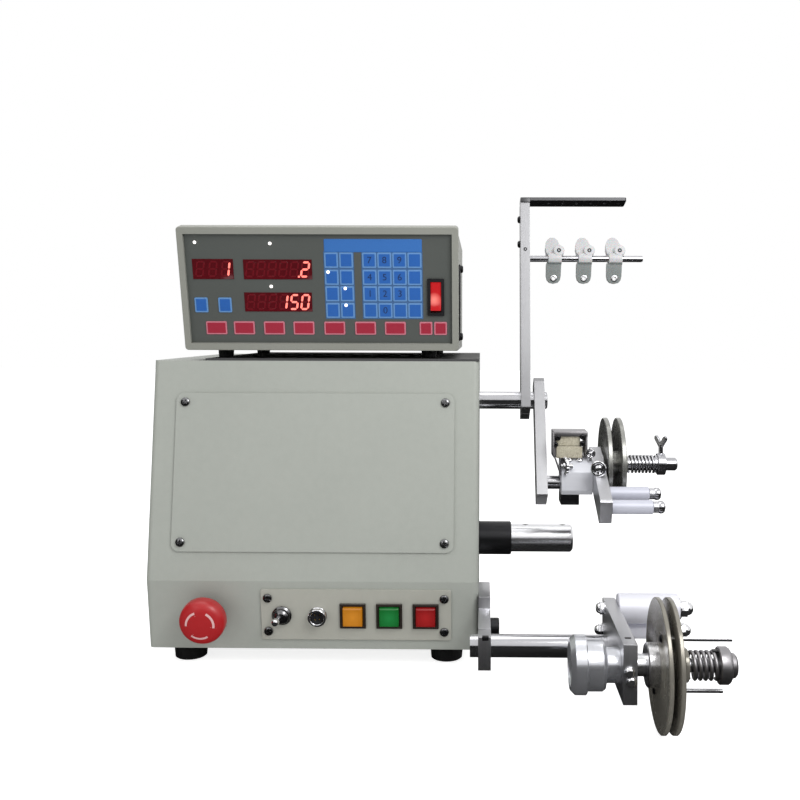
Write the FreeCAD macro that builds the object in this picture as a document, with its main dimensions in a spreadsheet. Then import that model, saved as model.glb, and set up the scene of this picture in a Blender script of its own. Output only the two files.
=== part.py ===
import FreeCAD, Part
import math
import os
import re
import Sketcher

# A bench winding machine for wire coils.  The frame: +X runs along the spindle, out of the
# machine's right side; +Y points to its back; +Z is up.  The origin is on the bench, in the
# middle of the four feet.  Every size below is in millimetres or degrees.

SIZES = {
    # sheet-metal case
    "case_width": 287, "case_depth": 256, "case_height": 250, "case_wall": 2, "case_corner": 5,
    "nose_rise": 61, "upper_setback": 25, "lower_setback": 10, "bend_radius": 3,
    "foot_height": 16, "foot_radius": 15, "foot_pitch_x": 230, "foot_pitch_y": 180,
    "screw_head_radius": 4, "screw_head_height": 2.4, "screw_radius": 2, "screw_grip": 6,
    # removable cover on the upper face and switch plate on the lower face
    "cover_width": 244, "cover_height": 137, "cover_low": 25, "cover_thick": 1.6,
    "cover_corner": 7, "cover_inset": 8, "cover_lap": 16,
    "plate_width": 164, "plate_height": 46, "plate_x": 38, "plate_drop": 6.5,
    "plate_thick": 1.5, "plate_inset": 6, "plate_corner": 2,
    # back panel
    "rear_flange": 20, "vent_count": 9, "vent_length": 60, "vent_width": 4, "vent_pitch": 10,
    # emergency stop
    "stop_x": -90, "stop_drop": 28, "stop_head_radius": 19.5, "stop_collar_radius": 15,
    "stop_collar_height": 6, "stop_barrel_radius": 11, "stop_barrel_length": 26,
    "stop_stem_radius": 7, "stop_travel": 4,
    # square push buttons
    "button_size": 22.5, "button_rim": 2, "button_cap": 17.2, "button_pitch": 31.4,
    "button_x": 66.7, "button_drop": 30, "button_proud": 5, "button_travel": 2.5,
    "button_barrel": 19.4, "button_depth": 18,
    # toggle switch and pedal socket
    "toggle_x": -26, "socket_x": 5, "toggle_radius": 8, "toggle_boot_height": 7,
    "toggle_lever_length": 19, "toggle_lever_radius": 2.4, "toggle_tilt": 12,
    "toggle_pin_radius": 1,
    "socket_radius": 8, "socket_height": 6.5, "socket_bore": 5.6,
    # controller
    "mat_thick": 2, "mat_left": -98, "mat_margin": 2,
    "control_width": 241.5, "control_height": 106, "control_forward": 28, "control_x": 4.5,
    "control_depth": 215, "control_foot_height": 7, "control_foot_radius": 7,
    "control_setback": 26, "control_wall": 1.5, "control_corner": 3,
    "bezel_depth": 9, "bezel_side": 5.6, "bezel_edge": 6.4, "bezel_recess": 3,
    "bezel_rabbet": 2, "panel_thick": 2, "board_thick": 1.6, "board_gap": 10, "chip_height": 5,
    "rocker_inset": 19.75, "rocker_rise": 48, "rocker_width": 14.6, "rocker_height": 33,
    "rocker_rim": 1.8, "rocker_tilt": 10, "rocker_depth": 3.5,
    # spindle and its drive
    "spindle_setback": 60, "spindle_rise": 103, "spindle_radius": 12.5, "spindle_reach": 85.5,
    "sleeve_radius": 15, "sleeve_reach": 29.5, "flange_radius": 34, "flange_thick": 8,
    "housing_radius": 29, "housing_length": 58, "bearing_radius": 23.5, "bearing_width": 12,
    "mandrel_radius": 6, "mandrel_depth": 48, "set_screw_radius": 2.5, "tail_length": 40,
    "pulley_radius": 30, "pulley_width": 16, "belt_width": 10, "belt_thick": 3,
    "motor_setback": 178, "motor_rise": 70, "motor_radius": 42, "motor_length": 120,
    "motor_pulley_radius": 19, "motor_shaft_radius": 7, "motor_stub": 14, "motor_gap": 6,
    "motor_base_inset": 12,
    # traverse
    "traverse_setback": 66, "traverse_drop": 37, "traverse_radius": 8, "traverse_reach": 62.5,
    "bushing_radius": 13, "bushing_flange": 18, "bushing_length": 55, "bushing_rim": 5,
    "carriage_left": -60, "carriage_length": 30, "carriage_height": 34, "screw_offset": 30,
    "lead_radius": 5,
    "lead_length": 158, "lead_seat": 12, "lead_journal": 16, "stepper_size": 56,
    "stepper_length": 40,
    "stepper_boss": 1.6, "traverse_clear": 0.05,
    # stand with its perforated strip, guide rod and wire guides
    "stand_x": 181.5, "stand_thick": 8.5, "stand_depth": 30, "stand_length": 188,
    "stand_tail": 16.6, "stand_rake": 8.6, "stand_lean": 10, "strip_length": 99.8, "strip_thick": 3,
    "strip_depth": 20, "strip_holes": 6, "strip_first": 27.5, "strip_pitch": 13.2,
    "strip_hole_radius": 2,
    "guide_rod_radius": 3, "guide_rod_rise": 134, "guide_rod_length": 115.3,
    "guide_first": 31.3, "guide_pitch": 28.5, "guide_width": 14, "guide_thick": 9,
    "guide_top": 21, "guide_drop": 25, "eyelet_radius": 2.2, "slit_width": 1.6, "bar_corner": 1,
    # guide arm and winding head
    "arm_x": 193.6, "arm_thick": 9.5, "arm_depth": 25, "arm_length": 80, "arm_top": 20,
    "arm_tail": 16.5, "arm_nose": 6, "arm_lean": 30, "stub_radius": 6, "stub_length": 34,
    "block_x": 215, "block_width": 27, "block_height": 34, "block_depth": 34,
    "felt_width": 30, "felt_height": 23, "felt_depth": 24, "felt_wall": 2, "felt_gap": 1.2,
    "felt_x": 208,
    "finger_thick": 10, "finger_height": 22, "finger_reach": 80, "finger_tail": 13,
    "finger_tilt": 22, "wheel_up": 15.5, "wheel_back": 8,
    "roller_radius": 5.8, "roller_length": 34, "roller_near": 50, "roller_far": 70.5,
    "roller_pin_radius": 2.5, "roller_clear": 0.08,
    "small_disc_radius": 41, "small_disc_thick": 4.5, "small_disc_gap": 6.5,
    "small_disc_dish": 1.5, "small_hub_radius": 11, "small_shaft_radius": 5.8,
    "small_shaft_length": 67, "small_spring_radius": 7.2, "small_spring_wire": 1.1,
    "small_boss_length": 6, "small_spring_length": 24, "small_spring_turns": 5,
    "wing_collar_radius": 9.7,
    "wing_collar_length": 7, "wing_screw_radius": 2,
    # rod bracket, tension rod and tension arm
    "bracket_thick": 10, "bracket_front": 80, "bracket_back": 45, "bracket_low": 30,
    "bracket_mid": 56, "bracket_high": 66, "bracket_step": 4,
    "rod_radius": 9, "rod_front": 60, "rod_rise": 43, "rod_left": 137,
    "bar_x": 245.5, "bar_thick": 10, "bar_front": 150, "bar_back": 31, "bar_low": 30,
    "bar_high": 74, "big_roller_radius": 12, "big_roller_length": 48.5, "big_roller_front": 46,
    "big_roller_rise": 69.5, "low_roller_radius": 7, "low_roller_front": 38,
    "low_roller_rise": 49.5, "stud_radius": 3,
    # tension wheel with its brake
    "axle_front": 130, "axle_rise": 53, "brake_radius": 21, "brake_mid_radius": 18.7,
    "brake_neck_radius": 12.6, "brake_flange": 15, "brake_body": 14.5,
    "axle_radius": 7.9, "hub_radius": 15.8, "hub_gap": 9, "hub_length": 8,
    "disc_radius": 47.4, "disc_thick": 4.4, "disc_gap": 2.8, "disc_dish": 1.2, "felt_radius": 22,
    "pin_radius": 1.7, "pin_circle": 26, "pin_angle": 62, "pin_reach": 78,
    "spring_radius": 9.4, "spring_wire": 1.4, "spring_length": 22, "spring_turns": 5,
    "collar_radius": 12, "collar_length": 10, "nut_radius": 13.3, "nut_length": 9,
    "cap_radius": 9, "cap_length": 5, "thread_radius": 5,
    # fits
    "running_gap": 0.05, "seat_gap": 0.1, "free_gap": 0.4,
    # from the middle of the case to the middle of the whole footprint, where the frame starts
    "origin_right": 93.3, "origin_front": 87.5,
}

ALIAS = re.compile(r"\b(" + "|".join(sorted(SIZES, key=len, reverse=True)) + r")\b")

doc = FreeCAD.newDocument("CoilWinder")
sheet = doc.addObject("Spreadsheet::Sheet", "Sizes")
for row, (alias, value) in enumerate(SIZES.items(), start=1):
    sheet.set(f"A{row}", alias)
    sheet.set(f"B{row}", str(value))
    sheet.setAlias(f"B{row}", alias)
doc.recompute()

# Places and angles that several pieces share, as expressions of the sheet's cells.
NOSE_Y = "(-case_depth / 2)"
NOSE_Z = "(foot_height + nose_rise)"
TOP_Z = "(foot_height + case_height)"
SIDE_X = "(case_width / 2)"
INNER_X = "(case_width / 2 - case_wall)"
UPPER_LEAN = "(-atan(upper_setback / (case_height - nose_rise)))"
LOWER_LEAN = "atan(lower_setback / nose_rise)"
CONTROL_LEAN = "atan(control_forward / control_height)"
CONTROL_Y = f"({NOSE_Y} + control_setback)"
CONTROL_Z = f"({TOP_Z} + mat_thick + control_foot_height)"
ROCKER_X = "(control_width / 2 - rocker_inset)"
PLATE_MID = "(-plate_drop - plate_height / 2)"
SPINDLE_Y = f"({NOSE_Y} + spindle_setback)"
TRAVERSE_Y = f"({NOSE_Y} + traverse_setback)"
TRAVERSE_Z = "(foot_height + case_height - traverse_drop)"
NODES = []


def bound(text):
    """An expression with each size written as its cell in the sheet."""
    return ALIAS.sub(r"Sizes.\1", str(text))


def number(text):
    """The present value of an expression."""
    value = sheet.evalExpression(str(text))
    return float(getattr(value, "Value", value))


def tie(owner, prop, text):
    owner.setExpression(prop, bound(text))


def node(piece, label):
    """Gives a finished sub-part its name and puts it on the list that is written out."""
    piece.Label = label
    NODES.append(piece)
    return piece


def new_body(name):
    return doc.addObject("PartDesign::Body", name)


def place(piece, x=0, y=0, z=0, turn=0, axis=(1, 0, 0)):
    """Sets a sub-part at a bound place, turned by a bound angle about an axis."""
    piece.Placement = FreeCAD.Placement(
        FreeCAD.Vector(), FreeCAD.Rotation(FreeCAD.Vector(*axis), 1))
    tie(piece, "Placement.Base.x", f"({x}) - origin_right")
    tie(piece, "Placement.Base.y", f"({y}) + origin_front")
    tie(piece, "Placement.Base.z", z)
    tie(piece, "Placement.Rotation.Angle", turn if isinstance(turn, str) else f"{turn} * 1 deg")


def seat(piece, origin, lean, x=0, y=0, z=0):
    """Sets a sub-part at (x, y, z) of a leaning face whose own frame starts at origin."""
    oy, oz = origin
    place(piece, x, f"{oy} + ({y}) * cos({lean}) - ({z}) * sin({lean})",
          f"{oz} + ({y}) * sin({lean}) + ({z}) * cos({lean})", lean)


def on_upper(piece, x=0, z=0, y=0):
    seat(piece, (NOSE_Y, NOSE_Z), UPPER_LEAN, x, y, z)


def on_lower(piece, x=0, z=0, y=0):
    seat(piece, (NOSE_Y, NOSE_Z), LOWER_LEAN, x, y, z)


def on_control(piece, x=0, z=0, y=0):
    seat(piece, (CONTROL_Y, CONTROL_Z), CONTROL_LEAN, f"control_x + ({x})", y, z)


def sketch(owner, role, lift=0, tilt=None, rise=0, axis=(1, 0, 0)):
    """A sketch on one of the body's origin planes, lifted along the plane's normal."""
    drawing = owner.newObject("Sketcher::SketchObject", f"{owner.Name}_sketch")
    base = [item for item in owner.Origin.OriginFeatures if item.Role == role][0]
    drawing.AttachmentSupport = [(base, "")]
    drawing.MapMode = "FlatFace"
    if tilt is not None:
        drawing.AttachmentOffset = FreeCAD.Placement(
            FreeCAD.Vector(), FreeCAD.Rotation(FreeCAD.Vector(*axis), 1))
        tie(drawing, "AttachmentOffset.Rotation.Angle", tilt)
        tie(drawing, "AttachmentOffset.Base.y", rise)
    tie(drawing, "AttachmentOffset.Base.z", lift)
    return drawing


def hold(drawing, geometry, point, x, y):
    """Fixes one point of the sketch by its two distances from the sketch's origin."""
    for kind, text in (("DistanceX", x), ("DistanceY", y)):
        rule = drawing.addConstraint(
            Sketcher.Constraint(kind, -1, 1, geometry, point, number(text)))
        tie(drawing, f"Constraints[{rule}]", text)


def polygon(drawing, corners):
    """A closed outline of straight lines through the corners."""
    spots = [FreeCAD.Vector(number(x), number(y), 0) for x, y in corners]
    sides = [drawing.addGeometry(Part.LineSegment(a, b))
             for a, b in zip(spots, spots[1:] + spots[:1])]
    for this, following in zip(sides, sides[1:] + sides[:1]):
        drawing.addConstraint(Sketcher.Constraint("Coincident", this, 2, following, 1))
    for side, (x, y) in zip(sides, corners):
        hold(drawing, side, 1, x, y)


def rectangle(drawing, x, y, width, height):
    """A rectangle about the centre (x, y)."""
    polygon(drawing, [(f"{x} + {sx} * ({width}) / 2", f"{y} + {sy} * ({height}) / 2")
                      for sx, sy in ((-1, -1), (1, -1), (1, 1), (-1, 1))])


def circle(drawing, x, y, radius):
    centre = FreeCAD.Vector(number(x), number(y), 0)
    ring = drawing.addGeometry(Part.Circle(centre, FreeCAD.Vector(0, 0, 1), number(radius)))
    hold(drawing, ring, 3, x, y)
    rule = drawing.addConstraint(Sketcher.Constraint("Radius", ring, number(radius)))
    tie(drawing, f"Constraints[{rule}]", radius)


def pad(owner, drawing, length, side="One side", back=False):
    feature = owner.newObject("PartDesign::Pad", f"{owner.Name}_pad")
    feature.Profile = drawing
    feature.SideType = side
    feature.Reversed = back
    tie(feature, "Length", length)
    doc.recompute()
    return feature


def pocket(owner, drawing, length=None, side="One side", back=False):
    """Cuts a sketch out of the body, right through where no length is given."""
    before = owner.Shape.Volume
    feature = owner.newObject("PartDesign::Pocket", f"{owner.Name}_pocket")
    feature.Profile = drawing
    if length is None:
        feature.Type = "ThroughAll"
        feature.SideType = "Symmetric"
    else:
        feature.SideType = side
        feature.Reversed = back
        tie(feature, "Length", length)
    doc.recompute()
    if owner.Shape.Volume > before - 0.01:
        raise RuntimeError(f"{feature.Name} cut nothing")
    return feature


def revolve(owner, drawing, axis):
    feature = owner.newObject("PartDesign::Revolution", f"{owner.Name}_turned")
    feature.Profile = drawing
    feature.ReferenceAxis = (drawing, [axis])
    doc.recompute()
    return feature


def dress(owner, kind, size, wanted):
    """A fillet or chamfer on the edges of the body's tip that wanted() picks."""
    tip = owner.Tip
    names = [f"Edge{i}" for i, edge in enumerate(tip.Shape.Edges, start=1) if wanted(edge)]
    if not names:
        raise RuntimeError(f"{owner.Name} has no edge to dress")
    feature = owner.newObject(f"PartDesign::{kind}", f"{owner.Name}_{kind.lower()}")
    feature.Base = (tip, names)
    tie(feature, "Radius" if kind == "Fillet" else "Size", size)
    doc.recompute()
    return feature


def along(axis):
    """Picks the straight edges that run along one axis."""
    def wanted(edge):
        if not isinstance(edge.Curve, Part.Line):
            return False
        return abs(abs(edge.Curve.Direction.dot(FreeCAD.Vector(*axis))) - 1) < 1e-6
    return wanted


def at_height(axis, level):
    """Picks the edges that lie wholly at one level along an axis."""
    goal = number(level)
    index = "xyz".index(axis)

    def wanted(edge):
        box = edge.BoundBox
        low = (box.XMin, box.YMin, box.ZMin)[index]
        high = (box.XMax, box.YMax, box.ZMax)[index]
        return abs(low - goal) < 1e-4 and abs(high - goal) < 1e-4
    return wanted


def turned(name, axis, profile, tilt=None):
    """A body turned about X, Y or Z from a closed profile of (along, radius) pairs.

    A tilt swings the whole piece about its own Z axis.
    """
    owner = new_body(name)
    if axis == "x":
        drawing = sketch(owner, "XY_Plane")
        polygon(drawing, profile)
        revolve(owner, drawing, "H_Axis")
    else:
        drawing = sketch(owner, "XY_Plane" if axis == "y" else "XZ_Plane", tilt=tilt,
                         axis=(0, 0, 1))
        polygon(drawing, [(radius, reach) for reach, radius in profile])
        revolve(owner, drawing, "V_Axis")
    return owner


def steps(start, *stages, bore=0):
    """The profile of a stepped shaft: (length, radius) stages one after another."""
    corners = [(start, bore)]
    reach = f"{start}"
    for length, radius in stages:
        corners.append((reach, radius))
        reach = f"{reach} + {length}"
        corners.append((reach, radius))
    corners.append((reach, bore))
    return corners


def screws(name, spots, head=("screw_head_radius", "screw_head_height"),
           shank=("screw_radius", "screw_grip")):
    """Pan-head screws in a front plane: heads stand out towards -Y, shanks go in."""
    owner = new_body(name)
    heads = sketch(owner, "XZ_Plane")
    for x, z in spots:
        circle(heads, x, z, head[0])
    pad(owner, heads, head[1])
    shanks = sketch(owner, "XZ_Plane")
    for x, z in spots:
        circle(shanks, x, z, shank[0])
    pad(owner, shanks, shank[1], back=True)
    return owner


def four(x, z, pitch_x, pitch_z):
    """The four corners of a hole pattern about (x, z)."""
    return [(f"{x} + {sx} * ({pitch_x}) / 2", f"{z} + {sz} * ({pitch_z}) / 2")
            for sx in (-1, 1) for sz in (-1, 1)]


def compound(name, parts):
    group = doc.addObject("Part::Compound", name)
    group.Links = parts
    doc.recompute()
    return group


# --- case ---------------------------------------------------------------------------------

COVER_SPOTS = four(0, "cover_low + cover_height / 2", "cover_width - 2 * cover_inset",
                   "cover_height - 2 * cover_inset")
PLATE_SPOTS = four("plate_x", PLATE_MID, "plate_width - 2 * plate_inset",
                   "plate_height - 2.6 * plate_inset")
REAR_SPOTS = four(0, "foot_height + case_height / 2", "case_width - rear_flange",
                  "case_height - rear_flange")
BUTTON_SPOTS = [f"button_x + {step} * button_pitch" for step in (-1, 0, 1)]


def case_outline(wall, back):
    """The case's side profile, moved in by a wall, as (y, z) corners."""
    front = f"{NOSE_Y} + {wall}"
    return [(f"{front} + lower_setback", f"foot_height + {wall}"), (front, NOSE_Z),
            (f"{front} + upper_setback", f"{TOP_Z} - {wall}"),
            (back, f"{TOP_Z} - {wall}"), (back, f"foot_height + {wall}")]


def case_shell():
    owner = new_body("case_shell")
    outer = sketch(owner, "YZ_Plane")
    polygon(outer, case_outline(0, "case_depth / 2 - case_wall"))
    pad(owner, outer, "case_width", "Symmetric")
    side = number(SIDE_X)
    nose = number(NOSE_Z)

    def front_corner(edge):
        box = edge.BoundBox
        leaning = 1 < box.YLength < 60 and box.ZLength > 20
        return leaning and abs(abs(box.Center.x) - side) < 1e-4

    dress(owner, "Fillet", "case_corner", front_corner)
    dress(owner, "Fillet", "bend_radius",
          lambda edge: along((1, 0, 0))(edge) and abs(edge.BoundBox.ZMin - nose) < 1e-4)
    inner = sketch(owner, "YZ_Plane")
    polygon(inner, case_outline("case_wall", "case_depth / 2 - 2 * case_wall"))
    pocket(owner, inner, "case_width - 2 * case_wall", "Symmetric")
    back = sketch(owner, "XZ_Plane", "4 * case_wall - case_depth / 2")
    rectangle(back, 0, "foot_height + case_height / 2", "case_width - 2 * rear_flange",
              "case_height - 2 * rear_flange")
    for x, z in REAR_SPOTS:
        circle(back, x, z, "screw_radius")
    pocket(owner, back, "case_wall * 4")
    window = sketch(owner, "XZ_Plane", f"-{NOSE_Y}", UPPER_LEAN, NOSE_Z)
    rectangle(window, 0, "cover_low + cover_height / 2", "cover_width - 2 * cover_lap",
              "cover_height - 2 * cover_lap")
    pocket(owner, window, "case_wall * 3")
    lower = sketch(owner, "XZ_Plane", f"-{NOSE_Y}", LOWER_LEAN, NOSE_Z)
    rectangle(lower, "plate_x", PLATE_MID, "plate_width - 4 * plate_inset",
              "plate_height - 2.6 * plate_inset")
    circle(lower, "stop_x", "-stop_drop", "stop_barrel_radius + seat_gap")
    pocket(owner, lower, "case_wall * 3")
    sides = sketch(owner, "YZ_Plane", lift=SIDE_X)
    circle(sides, SPINDLE_Y, "spindle_rise", "sleeve_radius + seat_gap")
    circle(sides, TRAVERSE_Y, TRAVERSE_Z, "traverse_radius + free_gap")
    pocket(owner, sides, "case_wall * 1.5")
    for drawing_lean, spots in ((UPPER_LEAN, COVER_SPOTS), (LOWER_LEAN, PLATE_SPOTS)):
        holes = sketch(owner, "XZ_Plane", f"-{NOSE_Y}", drawing_lean, NOSE_Z)
        for x, z in spots:
            circle(holes, x, z, "screw_radius")
        pocket(owner, holes, "case_wall * 3")
    place(owner)
    node(owner, "case_shell")


def cover_plate():
    owner = new_body("front_cover")
    face = sketch(owner, "XZ_Plane")
    rectangle(face, 0, "cover_low + cover_height / 2", "cover_width", "cover_height")
    pad(owner, face, "cover_thick")
    dress(owner, "Fillet", "cover_corner", along((0, 1, 0)))
    holes = sketch(owner, "XZ_Plane")
    for x, z in COVER_SPOTS:
        circle(holes, x, z, "screw_radius")
    pocket(owner, holes)
    on_upper(owner)
    node(owner, "front_cover")


def switch_plate():
    owner = new_body("switch_plate")
    face = sketch(owner, "XZ_Plane")
    rectangle(face, "plate_x", PLATE_MID, "plate_width", "plate_height")
    pad(owner, face, "plate_thick")
    dress(owner, "Fillet", "plate_corner", along((0, 1, 0)))
    holes = sketch(owner, "XZ_Plane")
    for x, z in PLATE_SPOTS:
        circle(holes, x, z, "screw_radius")
    for x in BUTTON_SPOTS:
        rectangle(holes, x, "-button_drop", "button_barrel + seat_gap", "button_barrel + seat_gap")
    circle(holes, "toggle_x", "-button_drop", "toggle_radius * 0.7 + seat_gap")
    circle(holes, "socket_x", "-button_drop", "socket_radius * 0.85 + seat_gap")
    pocket(owner, holes)
    on_lower(owner)
    node(owner, "switch_plate")


def rear_panel():
    owner = new_body("rear_panel")
    face = sketch(owner, "XZ_Plane")
    rectangle(face, 0, "foot_height + case_height / 2", "case_width", "case_height")
    pad(owner, face, "case_wall")
    vents = sketch(owner, "XZ_Plane")
    for column in (-1, 1):
        for count in range(int(number("vent_count"))):
            rectangle(vents, f"{column} * case_width / 5",
                      f"foot_height + case_height * 0.45 + {count} * vent_pitch",
                      "vent_length", "vent_width")
    for x, z in REAR_SPOTS:
        circle(vents, x, z, "screw_radius")
    pocket(owner, vents)
    place(owner, 0, "case_depth / 2", 0)
    node(owner, "rear_panel")


def case_screws():
    upper = screws("cover_screws", COVER_SPOTS)
    on_upper(upper, y="-cover_thick")
    lower = screws("plate_screws", PLATE_SPOTS)
    on_lower(lower, y="-plate_thick")
    rear = screws("rear_screws", REAR_SPOTS)
    place(rear, 0, "case_depth / 2", 0, 180, (0, 0, 1))
    node(compound("case_screws", [upper, lower, rear]), "case_screws")


def feet(name, height, radius, spots, base):
    """Rubber bumpers under a casing."""
    owner = new_body(name)
    rounds = sketch(owner, "XY_Plane")
    for x, y in spots:
        circle(rounds, x, y, radius)
    pad(owner, rounds, height)
    place(owner, *base)
    return owner


def rubber_feet():
    under_case = feet("case_feet", "foot_height", "foot_radius",
                      four(0, 0, "foot_pitch_x", "foot_pitch_y"), (0, 0, 0))
    under_control = feet("controller_feet", "control_foot_height", "control_foot_radius",
                         four(0, 0, "control_width * 0.77", "control_depth * 0.7"),
                         ("control_x", f"{CONTROL_Y} + control_depth / 2",
                          f"{TOP_Z} + mat_thick"))
    node(compound("rubber_feet", [under_case, under_control]), "rubber_feet")


def top_mat():
    mat = doc.addObject("Part::Box", "top_mat")
    tie(mat, "Length", f"{SIDE_X} - mat_left")
    tie(mat, "Width", "case_depth - upper_setback - case_wall - mat_margin")
    tie(mat, "Height", "mat_thick")
    place(mat, "mat_left", f"{NOSE_Y} + upper_setback", TOP_Z)
    node(mat, "top_mat")


# --- switches on the lower face -----------------------------------------------------------

def emergency_stop():
    collar = turned("estop_collar", "y", [
        ("-stop_collar_height", "stop_stem_radius + running_gap"),
        ("-stop_collar_height", "stop_collar_radius"), (0, "stop_collar_radius"),
        (0, "stop_barrel_radius"), ("stop_barrel_length", "stop_barrel_radius"),
        ("stop_barrel_length", "stop_stem_radius + running_gap")])
    on_lower(collar, "stop_x", "-stop_drop")
    node(collar, "estop_collar")
    back = "-(stop_collar_height + stop_travel + 2)"
    head = turned("estop_head", "y", [
        ("stop_barrel_length - 8", 0), ("stop_barrel_length - 8", "stop_stem_radius"),
        (back, "stop_stem_radius"), (back, "stop_head_radius"),
        (f"{back} - 8", "stop_head_radius"), (f"{back} - 13", "stop_head_radius * 0.8"),
        (f"{back} - 15.5", "stop_head_radius * 0.4"), (f"{back} - 15.5", 0)])
    on_lower(head, "stop_x", "-stop_drop")
    node(head, "estop_head")


def push_buttons():
    owner = new_body("button_bezels")
    rims = sketch(owner, "XZ_Plane")
    for x in BUTTON_SPOTS:
        rectangle(rims, x, 0, "button_size", "button_size")
    pad(owner, rims, "button_rim")
    dress(owner, "Fillet", 1.2, along((0, 1, 0)))
    barrels = sketch(owner, "XZ_Plane")
    for x in BUTTON_SPOTS:
        rectangle(barrels, x, 0, "button_barrel", "button_barrel")
    pad(owner, barrels, "button_depth", back=True)
    mouths = sketch(owner, "XZ_Plane", lift="button_rim")
    for x in BUTTON_SPOTS:
        rectangle(mouths, x, 0, "button_cap + 2 * seat_gap", "button_cap + 2 * seat_gap")
    pocket(owner, mouths, "button_rim + button_depth - 2")
    on_lower(owner, 0, "-button_drop", "-plate_thick")
    node(owner, "button_bezels")
    for x, colour in zip(BUTTON_SPOTS, ("amber", "green", "red")):
        cap = new_body(f"{colour}_button")
        face = sketch(cap, "XZ_Plane")
        rectangle(face, 0, 0, "button_cap", "button_cap")
        pad(cap, face, "button_proud")
        front = number("-button_proud")
        dress(cap, "Chamfer", 1, at_height("y", front))
        stem = sketch(cap, "XZ_Plane")
        rectangle(stem, 0, 0, "button_cap", "button_cap")
        pad(cap, stem, "button_depth - 3 - button_travel", back=True)
        on_lower(cap, x, "-button_drop", "-plate_thick")
        node(cap, f"{colour}_button")


def toggle_switch():
    boot = turned("toggle_bushing", "y", [
        ("-toggle_boot_height", "toggle_lever_radius + 1.6"),
        ("-toggle_boot_height", "toggle_radius * 0.55"), (-3, "toggle_radius * 0.8"),
        (-3, "toggle_radius"), (0, "toggle_radius"), (0, "toggle_radius * 0.7"),
        (16, "toggle_radius * 0.7"), (16, 0), (6, 0), (6, "toggle_lever_radius + 1.6")])
    cross = sketch(boot, "XY_Plane")
    circle(cross, 0, 0, "toggle_pin_radius + running_gap")
    pocket(boot, cross)
    on_lower(boot, "toggle_x", "-button_drop", "-plate_thick")
    node(boot, "toggle_bushing")
    ball = "(toggle_lever_radius + 1.6 - running_gap)"
    curve = [(f"{ball} * cos({turn})", f"{ball} * sin({turn})") for turn in (0, 45, 90, 135)]
    lever = turned("toggle_lever", "y", curve + [
        (f"-{ball}", "toggle_lever_radius * 0.6"),
        ("2 - toggle_lever_length", "toggle_lever_radius"),
        ("-toggle_lever_length", "toggle_lever_radius * 0.7"), ("-toggle_lever_length", 0)],
        tilt="-toggle_tilt * 1 deg")
    pivot = sketch(lever, "XY_Plane")
    circle(pivot, 0, 0, "toggle_pin_radius")
    pad(lever, pivot, "toggle_radius * 1.4 - free_gap", "Symmetric")
    on_lower(lever, "toggle_x", "-button_drop", "-plate_thick")
    node(lever, "toggle_lever")


def pedal_socket():
    owner = turned("pedal_socket", "y", [
        ("-socket_height", "socket_bore"), ("-socket_height", "socket_radius - 1"),
        ("1 - socket_height", "socket_radius"), (0, "socket_radius"),
        (0, "socket_radius * 0.85"), (14, "socket_radius * 0.85"), (14, 0),
        ("2 - socket_height / 2", 0), ("2 - socket_height / 2", "socket_bore")])
    pins = sketch(owner, "XZ_Plane", lift="socket_height / 2 - 2")
    for turn in (45, 135, 225, 315):
        circle(pins, f"socket_bore * 0.55 * cos({turn})", f"socket_bore * 0.55 * sin({turn})", 0.7)
    pad(owner, pins, 3)
    on_lower(owner, "socket_x", "-button_drop", "-plate_thick")
    node(owner, "pedal_socket")


# --- controller ---------------------------------------------------------------------------

CONTROL_FACE = "(control_height / cos(atan(control_forward / control_height)))"


def controller_case():
    owner = new_body("controller_case")
    lean = "control_forward / control_height"

    def outline(wall, front):
        return [(f"{front} - ({wall}) * ({lean})", wall),
                (f"{front} - (control_height - {wall}) * {lean}", f"control_height - {wall}"),
                (f"control_depth - {wall}", f"control_height - {wall}"),
                (f"control_depth - {wall}", wall)]

    start = "bezel_depth / cos(atan(control_forward / control_height))"
    outer = sketch(owner, "YZ_Plane")
    polygon(outer, outline("0", start))
    pad(owner, outer, "control_width - 2 * control_wall", "Symmetric")
    inner = sketch(owner, "YZ_Plane")
    polygon(inner, outline("control_wall", "0"))
    pocket(owner, inner, "control_width - 4 * control_wall", "Symmetric")
    vents = sketch(owner, "YZ_Plane")
    for count in range(5):
        rectangle(vents, f"control_depth * 0.45 + {count} * 12", "control_height / 2", 4, 50)
    pocket(owner, vents)
    place(owner, "control_x", CONTROL_Y, CONTROL_Z)
    node(owner, "controller_case")


# The board's chips: across, share of the face's height, width and height.
CHIPS = ((-60, 0.62, 52, 18), (10, 0.62, 40, 18), (-20, 0.3, 24, 24))


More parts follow.
